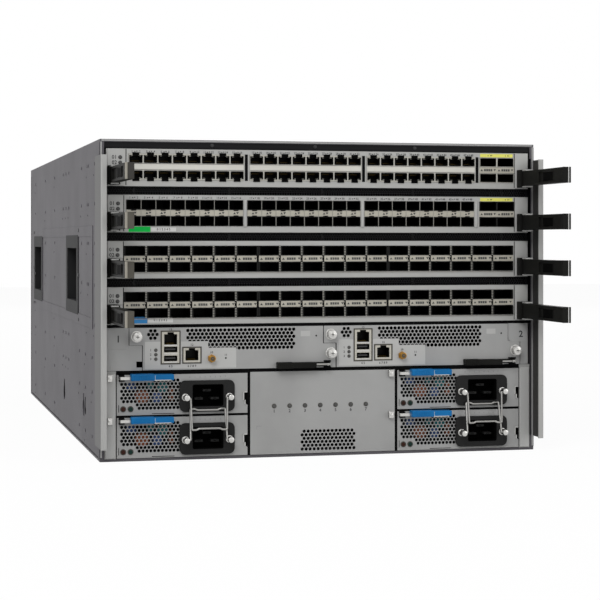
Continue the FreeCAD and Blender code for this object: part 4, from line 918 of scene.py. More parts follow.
def super_face(n):
    """The drilled face sheet, cut for its sockets, and the pale film that carries the numbers."""
    body = f"supervisor_{n}"
    outline = corners(n, [(SUPER_STEP + 0.3, 0.2), (SUPER_WIDE + SUPER_STEP - 0.3, 0.2),
                          (SUPER_WIDE + SUPER_STEP - 0.3, SUPER_MID - 0.2),
                          (SUPER_WIDE - 0.2, SUPER_MID - 0.2),
                          (SUPER_WIDE - 0.2, SUPER_TALL - 0.2), (0.2, SUPER_TALL - 0.2),
                          (0.2, SUPER_MID + 0.2),
                          (SUPER_STEP + 0.3, SUPER_MID + 0.2)])
    top = SUPER_TALL - 3.2
    large = hexagons(on_super(n, 57.1, top), VENT_PITCH, VENT_ROW,
                     [(0, 27), (1, 26), (0, 27), (1, 26), (10, 22), (11, 21)], VENT_HOLE)
    small = hexagons(on_super(n, 18.9, top), VENT_PITCH, VENT_ROW, [(1, 2), (0, 3), (1, 2)], VENT_HOLE)
    sockets = [window(n, STACK, 0.1), window(n, SINGLE, 0.1), ring(on_super(n, *CLOCK), 3.4, 20)]
    dots = [ring(on_super(n, *DOT), 0.9, 12), ring(on_super(n, 185.0, 31.4), 0.9, 12)]
    face = cut_sheet(outline, large + small + sockets + dots, SHEET_Y, SHEET)
    finished(face, f"supervisor_face_{n}", body, "front_sheet", FRONT)
    lamps = [ring(on_super(n, LAMP_AT, up), 1.5, 16) for up in LAMPS_UP]
    cuts = [ring(on_super(n, *CLOCK), 3.6, 20), ring(on_super(n, *DOT), 1.0, 12), window(n, SINGLE, 0.9)]
    notch = corners(n, [(15.2, 1.4), (104.6, 1.4), (104.6, 21.0), (77.0, 21.0), (77.0, 27.5), (50.2, 27.5),
                        (50.2, 5.4), (30.2, 5.4), (30.2, 27.5), (15.2, 27.5)])
    film = cut_sheet(notch, lamps + cuts, SHEET_Y - 0.07, 0.07)
    finished(film, f"legend_film_{n}", body, "front_sheet", FILM_AND_PAINTED_LIGHT)
    patch = block((SUPER_LEFT[n] + 169.2, SHEET_Y - 0.06, SUPER_LOW + 31.0),
                  (SUPER_LEFT[n] + 178.8, SHEET_Y, SUPER_LOW + 36.2))
    finished(patch, f"blank_patch_{n}", body, "front_sheet", FILM_AND_PAINTED_LIGHT)


def socket_frames(n):
    """Dark gaskets round the sockets, their tongues and springs, and the light pipes of the single jack."""
    body = f"supervisor_{n}"
    rims = [cut_sheet(window(n, places, 0.7), [window(n, places, -0.5)], NOSE_Y - 0.35, 0.6, 0.15)
            for places in (STACK, SINGLE)]
    finished(joined(rims), f"socket_gaskets_{n}", body, "socket_metal", GASKET)
    x, z = on_super(n, (STACK[0] + STACK[2]) / 2, 0)
    tongues = [block((x - 5.0, FACE_Y + 1.2, z + up + 1.9), (x + 5.0, FACE_Y + 14.0, z + up + 3.7), 0.15, 1)
               for up in (17.2, 8.6)]
    finished(joined(tongues), f"serial_tongues_{n}", body, "inlet_black", SOFT_BLACK)
    bars = [block((x - 6.8, NOSE_Y - 0.2, z + up), (x + 6.8, NOSE_Y + 0.4, z + up + 1.3), 0.2, 1)
            for up in (6.9, 15.0, 23.1)]
    finished(joined(bars), f"socket_bars_{n}", body, "socket_metal", NICKEL)
    jack_x = (x, on_super(n, (SINGLE[0] + SINGLE[2]) / 2, 0)[0])
    springs, tabs = [], []
    for middle, foot in zip(jack_x, (24.6, 9.0)):
        springs += [block((middle + (k - 3.5) * SPRING_PITCH - 0.22, FACE_Y + 3.0, z + foot + 0.3),
                          (middle + (k - 3.5) * SPRING_PITCH + 0.22, FACE_Y + 11.0, z + foot + 1.5))
                          for k in range(SPRINGS)]
        tabs.append(block((middle - 3.1, NOSE_Y - 0.12, z + foot + 9.9),
                          (middle + 3.1, NOSE_Y + 0.5, z + foot + 11.9),
                          0.1, 1))
    pipes = [block((jack_x[1] + side * 5.9 - 1.2, NOSE_Y - 0.15, z + 18.7),
                   (jack_x[1] + side * 5.9 + 1.2, NOSE_Y + 0.3, z + 20.1), 0.2, 1) for side in (-1, 1)]
    # The springs are gold darkened as painted shade, and the tab recesses below are painted shade.
    finished(joined(springs), f"socket_contacts_{n}", body, "socket_metal", SHADED_GOLD)
    finished(joined(tabs), f"socket_tab_recess_{n}", body, "inlet_black", PAINTED_SHADE)
    finished(joined(pipes), f"socket_lamps_{n}", body, "socket_metal", MILKY)


def clock_socket(n):
    """A gilt coaxial socket on its nut, with its thread and a dark insulator."""
    x, z = on_super(n, *CLOCK)
    nut = disc((x, SHEET_Y - 0.8, z), 4.1, 1.6, "Y", 6, 0.25)
    barrel = disc((x, SHEET_Y - 3.8, z), 3.05, 5.2, "Y", 28, 0.3)
    threads = [disc((x, SHEET_Y - 2.2 - 0.7 * k, z), 3.25, 0.34, "Y", 28, 0.1) for k in range(6)]
    finished(joined([nut, barrel] + threads), f"clock_socket_{n}", f"supervisor_{n}", "socket_metal", GOLD)
    core = disc((x, SHEET_Y - 6.45, z), 2.1, 0.3, "Y", 24, 0.08)
    finished(core, f"clock_insulator_{n}", f"supervisor_{n}", "socket_metal", GASKET)
    tip = disc((x, SHEET_Y - 6.6, z), 0.5, 0.7, "Y", 12, 0.1)
    finished(tip, f"clock_contact_{n}", f"supervisor_{n}", "socket_metal", GOLD)


def thumb_screw(n, across, up, word):
    """A knurled captive screw with a stepped head and a cross recess."""
    x, z = on_super(n, across, up)
    name, body = f"thumb_screw_{word}_{n}", f"supervisor_{n}"
    head = disc((x, FACE_Y - 4.6, z), 4.7, 6.6, "Y", 48, 0)
    chosen(head)
    bpy.ops.object.mode_set(mode="EDIT")
    bpy.ops.mesh.select_all(action="DESELECT")
    bpy.ops.object.mode_set(mode="OBJECT")
    sides = [face for face in head.data.polygons if abs(face.normal.y) < 0.5]
    for k, face in enumerate(sorted(sides, key=lambda f: math.atan2(f.normal.x, f.normal.z))):
        face.select = k % 2 == 0
    bpy.ops.object.mode_set(mode="EDIT")
    bpy.ops.mesh.select_mode(type="FACE")
    bpy.ops.mesh.extrude_faces_move(TRANSFORM_OT_shrink_fatten={"value": -0.35 * MM})
    bpy.ops.object.mode_set(mode="OBJECT")
    collar = disc((x, FACE_Y - 1.0, z), 5.5, 1.2, "Y", 40, 0.35)
    cap = disc((x, FACE_Y - 8.1, z), 4.2, 0.9, "Y", 40, 0.4)
    boss = disc((x, FACE_Y - 8.7, z), 2.3, 0.8, "Y", 28, 0.25)
    finished(joined([head, collar, cap, boss]), name, body, "socket_metal", NICKEL)
    # The cross recess is painted shade.
    slots = [block((x - 1.6, FACE_Y - 9.16, z - 0.3), (x + 1.6, FACE_Y - 8.9, z + 0.3)),
             block((x - 0.3, FACE_Y - 9.16, z - 1.6), (x + 0.3, FACE_Y - 8.9, z + 1.6))]
    finished(joined(slots), name + "_recess", body, "inlet_black", PAINTED_SHADE)


def super_lamps(n):
    """Three small lamps with their numbers, and the plain numbers round the sockets."""
    body = f"supervisor_{n}"
    places = [on_super(n, LAMP_AT, up) for up in LAMPS_UP]
    rims = [disc((x, SHEET_Y - 0.12, z), 1.75, 0.3, "Y", 20, 0.1) for x, z in places]
    lenses = [disc((x, SHEET_Y - 0.3, z), 1.2, 0.35, "Y", 16, 0.1) for x, z in places]
    finished(joined(rims), f"supervisor_lamp_rims_{n}", body, "inlet_black", GASKET)
    finished(joined(lenses), f"supervisor_lamps_{n}", body, "inlet_black", LENS)
    words = [(str(k + 1), 20.8, up) for k, up in enumerate(LAMPS_UP)]
    words += [("4 5", 40.2, 3.6), ("6 7 8 9", 61.0, 3.6), ("10", 80.3, 16.4), ("11", 94.4, 13.8),
              ("12", 61.0, 24.0), ("13", 40.2, 38.9)]
    entries = [(word, *on_super(n, across, up)) for word, across, up in words]
    finished(printed(entries, SHEET_Y - 0.08, 3.0), f"supervisor_numbers_{n}", body, "front_sheet", INK)


def ejector_grip(n):
    """The stepped moulded grip pushed over the ejector's silver arm."""
    body = f"supervisor_lever_{n}"
    low, high = limits(body)
    foot, head = low[2] - 1.6, high[2] + 0.2
    stem = block((low[0] + 0.1, low[1] - 0.4, foot + 0.6), (low[0] + 38.6, high[1] + 0.3, head - 0.2), 0.5, 2)
    pads = [block((low[0] - 0.2, low[1] - 0.9, foot), (low[0] + 15.6, high[1] - 0.2, head + 0.3), 0.8, 2),
            block((low[0] + 16.6, low[1] - 0.6, foot + 0.2), (low[0] + 37.4, high[1] - 0.2, head), 0.7, 2)]
    ribs = [block((low[0] + 2.2 + 2.1 * k, low[1] - 1.25, foot + 0.9),
                  (low[0] + 3.2 + 2.1 * k, low[1] - 0.7, head - 0.6),
                  0.2, 1) for k in range(6)]
    finished(joined([stem] + pads + ribs), f"ejector_grip_{n}", body, "lever_black", LEVER)
    arm = block((low[0] + 38.4, low[1] - 0.15, low[2] + 1.3), (high[0] + 0.1, low[1] + 2.0, high[2] - 0.9),
                0.3, 1)
    rivet = disc((high[0] - 3.5, low[1] - 0.3, (low[2] + high[2]) / 2), 1.3, 0.9, "Y", 16, 0.25)
    finished(joined([arm, rivet]), f"ejector_arm_{n}", body, "cage_metal", WIRE)


for number in (1, 2):
    super_face(number)
    socket_frames(number)
    clock_socket(number)
    super_lamps(number)
    ejector_grip(number)
    thumb_screw(number, 7.2, 32.6, "upper")
    thumb_screw(number, SUPER_WIDE + 7.6, 14.2, "lower")

# ---------------------------------------------------------------- power supplies
# Across a supply, places are measured from its left edge; upwards, from its foot.
INLET_LEFT, INLET_WIDE = 60.8, 53.9
INLET_LOW, INLET_TALL = 2.5, 30.2
INLET_OUT = 2.5                             # flange ahead of the face
INLET_MOUTH = (73.25, 7.4, 103.75, 28.8)    # left, foot, right and head
POWER_PITCH, POWER_ROW, POWER_HOLE = 3.75, 3.3, 1.72
NOTCH = (10.0, 20.5, 4.2)
BOSS_INSET, BOSS_UP, BOSS_OUT = 5.35, 16.7, 11.5
BLADES = ((0, 4.5), (-8.0, -3.5), (8.0, -3.5))
LEG_REACH = 31.0                            # of a bail
LEAN_HANGING, LEAN_RAISED = -6.0, 167.0     # of supplies 1 and 2, and of 3 and 4, in degrees


def on_supply(n, across, up):
    """A place on a supply's face, in X and Z."""
    return SUPPLY[n][0] + across, SUPPLY[n][2] + up


def supply_body(n):
    """The body of a supply."""
    return f"power_supply_{n}"


def supply_face(n):
    """The drilled face sheet with its openings for the inlet, two lamps and the latch notch."""
    notch_low, notch_high, notch_in = NOTCH
    right, head, inner = SUPPLY_WIDE - 0.2, SUPPLY_TALL - 0.2, SUPPLY_WIDE - notch_in
    outline = [on_supply(n, *point) for point in (
        (0.2, 0.2), (right, 0.2), (right, notch_low - 2.0), (inner + 1.4, notch_low - 0.4),
        (inner + 1.4, notch_low + 2.0), (inner, notch_low + 2.6), (inner, notch_high), (right, notch_high),
        (right, head), (0.2, head))]
    spans = [(17, 7), (0, 16), (1, 15), (0, 16), (1, 15), (0, 16), (1, 15), (8, 12), (9, 11)]
    holes = hexagons(on_supply(n, 4.9, 33.3), POWER_PITCH, POWER_ROW, spans, POWER_HOLE)
    inlet = [on_supply(n, *point) for point in rectangle(
        (INLET_LEFT + 3.2, INLET_LOW + 3.2), (INLET_LEFT + INLET_WIDE - 3.2, INLET_LOW + INLET_TALL - 3.2))]
    face = cut_sheet(outline, holes + [inlet], SHEET_Y, SHEET)
    finished(face, f"supply_face_{n}", supply_body(n), "front_sheet", FRONT)
    x, z = on_supply(n, SUPPLY_WIDE - notch_in, notch_low)
    # The pale lips round the latch notch are bare cut edges.
    lips = [block((x - 0.4, FACE_Y - 1.6, z + 2.6), (x + 0.5, FACE_Y, z + 10.9), 0.2, 1),
            block((x - 0.4, FACE_Y - 1.6, z + 10.1), (x + 3.6, FACE_Y, z + 10.9), 0.2, 1),
            block((x + 1.0, FACE_Y - 1.6, z - 1.2), (x + 1.9, FACE_Y, z + 2.8), 0.2, 1)]
    finished(joined(lips), f"latch_notch_lip_{n}", supply_body(n), "front_sheet", CUT_EDGE_AND_HIGHLIGHT)
    # The hole behind the notch is painted shade.
    hole = block((x + 0.6, FACE_Y - 0.2, z - 1.0), (x + 3.9, FACE_Y + 0.2, z + 10.0))
    finished(hole, f"latch_notch_dark_{n}", supply_body(n), "black_sheet", PAINTED_SHADE)
    x, z = on_supply(n, 0, 0)
    # The slits are painted shade.
    slits = [block((x + left, SHEET_Y - 0.05, z + low), (x + right, SHEET_Y + 0.1, z + high))
             for left, low, right, high in ((1.7, 3.2, 2.3, 10.2), (34.0, 1.0, 56.0, 1.6))]
    finished(joined(slits), f"supply_slits_{n}", supply_body(n), "black_sheet", PAINTED_SHADE)


def supply_lamps(n):
    """Two domed lamps below the vent, one for the supply and one for the mains."""
    for across, name, finish in ((6.3, "brown", LAMP_BROWN), (13.4, "green", LAMP_GREEN)):
        x, z = on_supply(n, across, 6.3)
        rim = disc((x, SHEET_Y - 0.25, z), 2.9, 0.6, "Y", 28, 0.15)
        finished(rim, f"supply_lamp_rim_{name}_{n}", supply_body(n), "inlet_black", GASKET)
        lens = disc((x, SHEET_Y - 0.9, z), 2.1, 0.8, "Y", 24, 0.35)
        finished(lens, f"supply_lamp_{name}_{n}", supply_body(n), "inlet_black", finish)


def supply_inside(n):
    """What shows faintly through the vent: a board with a wound coil, capacitors and film parts."""
    x, z = on_supply(n, 0, 0)
    back = FACE_Y + 7.9
    coil = disc((x + 25.0, back - 3.0, z + 17.5), 7.0, 5.0, "Y", 28, 1.2)
    around = ring((x + 25.0, z + 17.5), 5.4, 14)
    turns = [disc((across, back - 5.6, up), 0.8, 1.2, "Y", 8, 0) for across, up in around]
    finished(joined([coil] + turns), f"wound_coil_{n}", supply_body(n), "board", WOUND)
    caps = [disc((x + 45.0, back - 3.2, z + 26.5), 5.4, 6.0, "Y", 24, 0.8),
            disc((x + 33.5, back - 2.6, z + 28.4), 3.6, 4.8, "Y", 20, 0.6)]
    finished(joined(caps), f"teal_capacitors_{n}", supply_body(n), "board", TEAL)
    boxes = [block((x + 36.0, back - 5.6, z + 12.0), (x + 44.0, back, z + 21.0), 0.5, 2),
             block((x + 10.0, back - 4.4, z + 24.0), (x + 19.0, back, z + 31.0), 0.5, 2)]
    finished(joined(boxes), f"blue_film_parts_{n}", supply_body(n), "board", FILM_BLUE)
    small = [disc((x + 54.0, back - 2.6, z + 16.0 + 7.0 * k), 2.8, 4.8, "Y", 18, 0.5) for k in (0, 1)]
    finished(joined(small), f"brown_capacitors_{n}", supply_body(n), "board", WOUND)


def inlet_cap(n):
    """The soft-edged bezel over the inlet's flange, the mouth in painted shade and the bright tips of the
    blades.
    """
    low = on_supply(n, INLET_LEFT - 0.1, INLET_LOW - 0.1)
    high = on_supply(n, INLET_LEFT + INLET_WIDE + 0.1, INLET_LOW + INLET_TALL + 0.1)
    left, foot, right, head = INLET_MOUTH
    mouth = cushion(on_supply(n, left, foot), on_supply(n, right, head), 1.6, 3)
    bezel = cut_sheet(cushion(low, high, 5.6, 6), [mouth[::-1]], FACE_Y - INLET_OUT - 0.5, 0.6, 0.28)
    finished(bezel, f"inlet_bezel_{n}", supply_body(n), "inlet_black", INLET)
    x, z = on_supply(n, (left + right) / 2, (foot + head) / 2)
    outside = cushion((x - 15.1, z - 10.6), (x + 15.1, z + 10.6), 1.5, 3)
    inside = cushion((x - 14.7, z - 10.2), (x + 14.7, z + 10.2), 1.2, 3)[::-1]
    liner = cut_sheet(outside, [inside], FACE_Y - INLET_OUT - 0.4, 17.0)
    bottom = block((x - 14.9, FACE_Y + 15.2, z - 10.4), (x + 14.9, FACE_Y + 15.7, z + 10.4))
    finished(joined([liner, bottom]), f"inlet_mouth_{n}", supply_body(n), "inlet_black", PAINTED_SHADE)
    tips = [block((x + across - 1.7, FACE_Y + 4.0, z + up - 0.45),
                  (x + across + 1.7, FACE_Y + 14.8, z + up + 0.45),
                  0.15, 1) for across, up in BLADES]
    finished(joined(tips), f"blade_tips_{n}", supply_body(n), "socket_metal", BAND)
    marks = [(str(k), *on_supply(n, 71.0 + 5.0 * k, 35.9)) for k in range(8)]
    finished(printed(marks, SHEET_Y - 0.02, 1.9), f"supply_numbers_{n}", supply_body(n), "front_sheet",
             PALE_INK)


def bail_post(n):
    """The two nickel posts that hold the bail, each with a collar and a round head."""
    posts = []
    for across in (INLET_LEFT + BOSS_INSET, INLET_LEFT + INLET_WIDE - BOSS_INSET):
        x, z = on_supply(n, across, BOSS_UP)
        front = FACE_Y - BOSS_OUT - 3.0
        posts.append(disc((x, (front + FACE_Y - INLET_OUT) / 2, z), 2.9, FACE_Y - INLET_OUT - front, "Y",
                          28, 0.9))
        posts.append(disc((x, FACE_Y - INLET_OUT - 0.9, z), 3.5, 1.0, "Y", 28, 0.3))
    finished(joined(posts), f"bail_posts_{n}", supply_body(n), "socket_metal", NICKEL)


def bail(n):
    """The sprung wire that holds the plug: two legs and a raised middle."""
    lean = math.radians(LEAN_RAISED if n > 2 else LEAN_HANGING)
    boss, centre = INLET_LEFT + BOSS_INSET, INLET_LEFT + INLET_WIDE / 2
    leg, reach = boss + 4.1, LEG_REACH
    half = [(boss - 1.5, 0), (leg, 0), (leg, -reach), (leg + 5.2, -reach), (leg + 7.2, 2.0 - reach)]
    flat = half + [(2 * centre - across, up) for across, up in reversed(half)]
    eye = on_supply(n, 0, BOSS_UP)
    turned = [(eye[0] + across, FACE_Y - BOSS_OUT - up * math.sin(lean), eye[1] + up * math.cos(lean))
              for across, up in flat]
    loop = wire(turned, 1.0, 1.4)
    finished(loop, f"wire_bail_{n}", f"cord_bail_{n}", "bail_wire", WIRE)
    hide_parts(f"cord_bail_{n}")


def latch_grip(n):
    """The two blue mouldings on the latch's silver arm."""
    body = f"power_latch_{n}"
    low, high = limits(body)
    start = SUPPLY[n][0] + 13.0 - 0.4
    end = high[0]
    foot, head = low[2] - 0.2, SUPPLY[n][2] + 40.2
    first = block((start, low[1] - 0.5, foot), (start + 23.4, high[1] + 0.2, head), 1.2, 3)
    second = block((start + 22.8, low[1] - 0.1, foot + 0.3), (end + 0.5, high[1] + 0.2, head - 0.5), 1.0, 3)
    ridge = [block((start + 3.0 + 2.4 * k, low[1] - 0.85, foot + 1.0),
                   (start + 4.0 + 2.4 * k, low[1] - 0.3, head - 1.0),
                   0.2, 1) for k in range(7)]
    finished(joined([first, second] + ridge), f"latch_grip_{n}", body, "latch_blue", BLUE)
    x, z = on_supply(n, -7.0, 36.2)
    keeper = [block((x - 2.5, FACE_Y - 4.6, z - 3.2), (x + 2.5, FACE_Y - 0.95, z + 3.2), 0.5, 2),
              disc((x, FACE_Y - 4.9, z), 1.5, 0.8, "Y", 20, 0.3)]
    finished(joined(keeper), f"latch_keeper_{n}", "chassis", "latch_blue", NICKEL)


for supply in (1, 2, 3, 4):
    supply_face(supply)
    supply_lamps(supply)
    supply_inside(supply)
    inlet_cap(supply)
    bail_post(supply)
    bail(supply)
    latch_grip(supply)

# ---------------------------------------------------------------- status panel, frame, sides and rear
STATUS_LOW, STATUS_HIGH = limits("status_panel")
STATUS_LAMPS = [-49.5 + 15.5 * k for k in range(7)]
STATUS_UP, STATUS_NUMBERS = 50.0, 44.9
SUPPLY_NEAR = SUPPLY[2][0]                  # edges of a supply, from the middle
SUPPLY_FAR = SUPPLY[2][0] + SUPPLY_WIDE
ROTORS_UP = (83.1, 225.6)
GUARD, GUARD_STEP, GUARD_HOOPS = 57.0, 8.6, 6
# rivets on the sides, as distances back from the face and heights
RIVETS = [((42.0, 92.0, 104.0, 155.0, 440.0, 560.0, 700.0), (287.0, 248.0, 209.0, 168.0, 129.0)),
          ((280.0, 310.0, 340.0), (287.0, 248.0, 108.0, 80.0)),
          ((62.0, 120.0, 175.0, 440.0, 560.0, 700.0), (96.0, 62.0, 18.0))]
KEY_SLOTS = (120.0, 330.0)
TOP_SCREWS = [(x, y) for x in (-205.0, -70.0, 70.0, 205.0) for y in (-370.0, -180.0, 10.0, 200.0, 372.0)]
FAN_BOLT, FAN_LAMP_UP = 52.0, 154.3


def status_face():
    """The drilled sheet of the status panel, with a row of seven lamps over plain numbers."""
    outline = rectangle((STATUS_LOW[0] + 0.2, STATUS_LOW[2] + 0.2),
                        (STATUS_HIGH[0] - 0.2, STATUS_HIGH[2] - 0.2))
    spans = [(1, 13), (0, 14), (1, 13), (0, 14), (1, 13), (0, 14)]
    holes = hexagons((-21.3, 24.6), 4.05, 3.5, spans, 1.75)
    face = cut_sheet(outline, holes + [ring((x, STATUS_UP), 1.9) for x in STATUS_LAMPS], SHEET_Y, SHEET)
    finished(face, "status_face", "chassis", "front_sheet", FRONT)
    offsets = [(x, 0, 0) for x in STATUS_LAMPS]
    rims = repeated(disc((0, SHEET_Y - 0.1, STATUS_UP), 2.35, 0.5, "Y", 24, 0.12), offsets)
    finished(rims, "status_lamp_rims", "chassis", "inlet_black", GASKET)
    lenses = repeated(disc((0, SHEET_Y - 0.45, STATUS_UP), 1.7, 0.5, "Y", 20, 0.2), offsets)
    finished(lenses, "status_lamps", "chassis", "inlet_black", LENS)
    entries = [(str(k + 1), x, STATUS_NUMBERS) for k, x in enumerate(STATUS_LAMPS)]
    finished(printed(entries, SHEET_Y - 0.02, 4.2), "status_numbers", "chassis", "front_sheet", INK)
    corner = [block((-67.0, SHEET_Y - 0.04, 30.6), (-62.0, SHEET_Y + 0.05, 30.85)),
              block((-67.0, SHEET_Y - 0.04, 27.4), (-66.75, SHEET_Y + 0.05, 30.85))]
    finished(joined(corner), "status_corner_line", "chassis", "front_sheet", PALE_INK)


def filler_faces():
    """Sheets over the fillers beside the supervisors, with a plain number on each, and two dimples."""
    start, end = SUPER_LEFT[1] - 0.3, SUPER_LEFT[2] + SUPER_WIDE + 0.3
    foot, middle, head = SUPER_LOW + 0.2, SUPER_LOW + SUPER_MID, SUPER_TOP - 0.2
    edge, notch = start + SUPER_STEP - 0.2, start + SUPER_STEP - 5.5
    left = [(-CARD_HALF + 0.2, foot), (edge, foot), (edge, foot + 2.7), (notch, foot + 2.7),
            (notch, foot + 8.5),
            (edge, foot + 8.5), (edge, middle - 0.2), (start - 0.2, middle - 0.2), (start - 0.2, head),
            (-CARD_HALF + 0.2, head)]
    right = [(end + SUPER_STEP + 0.2, foot), (CARD_HALF - 0.2, foot), (CARD_HALF - 0.2, head),
             (end + 0.2, head),
             (end + 0.2, middle + 0.2), (end + SUPER_STEP + 0.2, middle + 0.2)]
    dimples = [ring((x, SUPER_LOW + 3.4), 0.75, 12) for x in (-210.5, -190.6)]
    sheets = [cut_sheet(left, dimples, SHEET_Y, SHEET), cut_sheet(right, [], SHEET_Y, SHEET)]
    finished(joined(sheets), "filler_faces", "chassis", "front_sheet", FRONT)
    plates = [block((x0, SHEET_Y - 0.25, SUPER_LOW + up), (x1, SHEET_Y, SUPER_TOP - 0.8), 0.15, 1)
              for x0, x1, up in ((-CARD_HALF + 0.6, start - 1.6, 20.8), (end + 1.6, CARD_HALF - 0.6, 22.4))]
    finished(joined(plates), "number_plates", "chassis", "front_sheet", FRONT)
    finished(printed([("1", -202.5, SUPER_LOW + 30.2), ("2", 206.4, SUPER_LOW + 30.2)], SHEET_Y - 0.27, 9.0),
             "slot_numbers", "chassis", "front_sheet", INK)


def dark_seams():
    """Black strips of painted shade in the gaps between the modules, in front of the shelves and walls behind
    them.
    """
    wide = HALF - 4.6
    bars = [((-wide, SUPER_TOP + 0.1), (wide, CARD_BASE[4] - 0.1), 1.2),
            ((-wide, SUPPLY_HIGH[2] + 0.8), (wide, SUPER_LOW - 0.1), 1.2)]
    for side in (-1, 1):
        for edges, foot, head, back in (
                ((SUPPLY_NEAR - 0.1, STATUS_HIGH[0] + 0.1), 2.8, SUPPLY_HIGH[2] + 0.4, 1.2),
                ((SUPPLY_FAR + 0.1, SUPPLY_FAR + 1.1), 2.8, SUPPLY_HIGH[2] + 0.4, 1.0),
                ((SUPPLY_NEAR, SUPPLY_FAR), SUPPLY_TALL + 2.9, SUPPLY[1][2] - 0.1, 1.0)):
            x0, x1 = span(side, *edges)
            bars.append(((x0, foot), (x1, head), back))
    strips = [block((low[0], FACE_Y + set_back, low[1]), (high[0], FACE_Y + set_back + 0.6, high[1]))
              for low, high, set_back in bars]
    finished(joined(strips), "dark_seams", "chassis", "black_sheet", SHADE_BLACK)


def slot_baffles():
    """Black folded sheets of painted shade that close the corners of the card slots behind the intake strips.
    """
    sheets = []
    for n in (1, 2, 3, 4):
        foot = CARD_BASE[n] + CARD_TALL - 2.5
        head = min(foot + 12.5, TOP_Z - 2.8)
        for side in (-1, 1):
            x0, x1 = span(side, 188.6, HALF - 2.55)
            sheets.append(block((x0, FACE_Y + 3.2, foot), (x1, FACE_Y + 4.4, head), 0.2, 1))
            x0, x1 = span(side, CARD_HALF + 0.4, HALF - 2.55)
            sheets.append(block((x0, FACE_Y + 2.0, CARD_BASE[n] - 2), (x1, FACE_Y + 3.0, head), 0.1, 1))
    finished(joined(sheets), "slot_baffles", "chassis", "black_sheet", SHADE_BLACK)


def lintel_trim():
    """Three small screws along the lintel, the fold under it and the cover's front lip."""
    low, high = limits("front_lintel")
    screws = [disc((x, low[1] - 0.35, 304.0), 1.7, 0.8, "Y", 20, 0.25) for x in (-111, -8, 94.5)]
    finished(joined(screws), "lintel_screws", "chassis", "black_sheet", SCREW)
    fold = block((low[0], low[1] - 0.4, low[2]), (high[0], low[1] + 0.6, low[2] + 0.8), 0.2, 1)
    finished(fold, "lintel_fold", "chassis", "black_sheet", BLACK)
    lip = block((1.5 - HALF, FACE_Y - 0.35, TOP_Z - 1.9), (HALF - 1.5, FACE_Y + 0.4, TOP_Z - 0.5), 0.2, 1)
    finished(lip, "cover_lip", "chassis", "panel_paint", FRONT)


def column_trim():
    """The rounded columns beside the supplies, made pale as painted light, and the front edges of the side
    walls.
    """
    for side, word in ((-1, "left"), (1, "right")):
        x0, x1 = span(side, SUPPLY_FAR + 1.2, HALF - 4.9)
        fold = block((x0, FACE_Y - 0.9, 3.0), (x1, FACE_Y + 0.3, SUPPLY_HIGH[2] + 0.6), 0.8, 3)
        # The columns' pale film tone is painted light.
        finished(fold, f"bay_column_{word}", "chassis", "front_sheet", FILM_AND_PAINTED_LIGHT)
        x0, x1 = span(side, HALF - 1.9, HALF - 0.4)
        edge = block((x0, FACE_Y - 0.35, 4.0), (x1, FACE_Y + 0.3, TOP_Z - 2.6), 0.15, 1)
        finished(edge, f"wall_edge_{word}", "chassis", "panel_paint", FRONT)


def fan_baffles():
    """The black air screen on the inner side of each fan tray."""
    for n in (1, 2, 3):
        low, high = limits(f"fan_tray_{n}")
        screen = block((low[0] + 1, low[1] - 1.6, low[2] + 1), (high[0] - 1, low[1] - 0.2, high[2] - 1),
                       0.3, 1)
        finished(screen, f"air_screen_{n}", f"fan_tray_{n}", "fan_black", SHADE_BLACK)


def turned_to_side(sheet, x, side):
    """Turns a sheet drawn across the front so that it lies against a side panel."""
    fresh()
    chosen(sheet)
    bpy.ops.transform.rotate(value=math.radians(90), orient_axis="Z", orient_type="GLOBAL",
                             center_override=(0, 0, 0))
    rooted(sheet)
    low = min(v.co.x for v in sheet.data.vertices) / MM
    placed = moved(sheet, (x - low - (0.7 if side < 0 else 0.0), 0, 0))
    bpy.data.objects.remove(sheet)
    return placed


def side_cups(side, word):
    """The raised plate round a carrying cup, and its screws."""
    low, high = limits("handle_cups")
    x = side * HALF
    outline = rectangle((low[1] - 7.0, low[2] - 9.0), (high[1] + 7.0, high[2] + 9.0))
    opening = rectangle((low[1] + 1.5, low[2] + 1.5), (high[1] - 1.5, high[2] - 1.5))
    panel = cut_sheet(outline, [opening], 0, 0.7, 0.2)
    panel = turned_to_side(panel, x + side * 0.05, side)
    finished(panel, f"cup_plate_{word}", "chassis", "panel_paint", SIDE)
    levels = (low[2] - 5.0, (low[2] + high[2]) / 2, high[2] + 5.0)
    spots = [(y, z) for y in (low[1] - 3.6, high[1] + 3.6) for z in levels]
    screws = [disc((x + side * 0.9, y, z), 1.9, 0.8, "X", 20, 0.25) for y, z in spots]
    finished(joined(screws), f"cup_screws_{word}", "chassis", "panel_paint", SCREW)


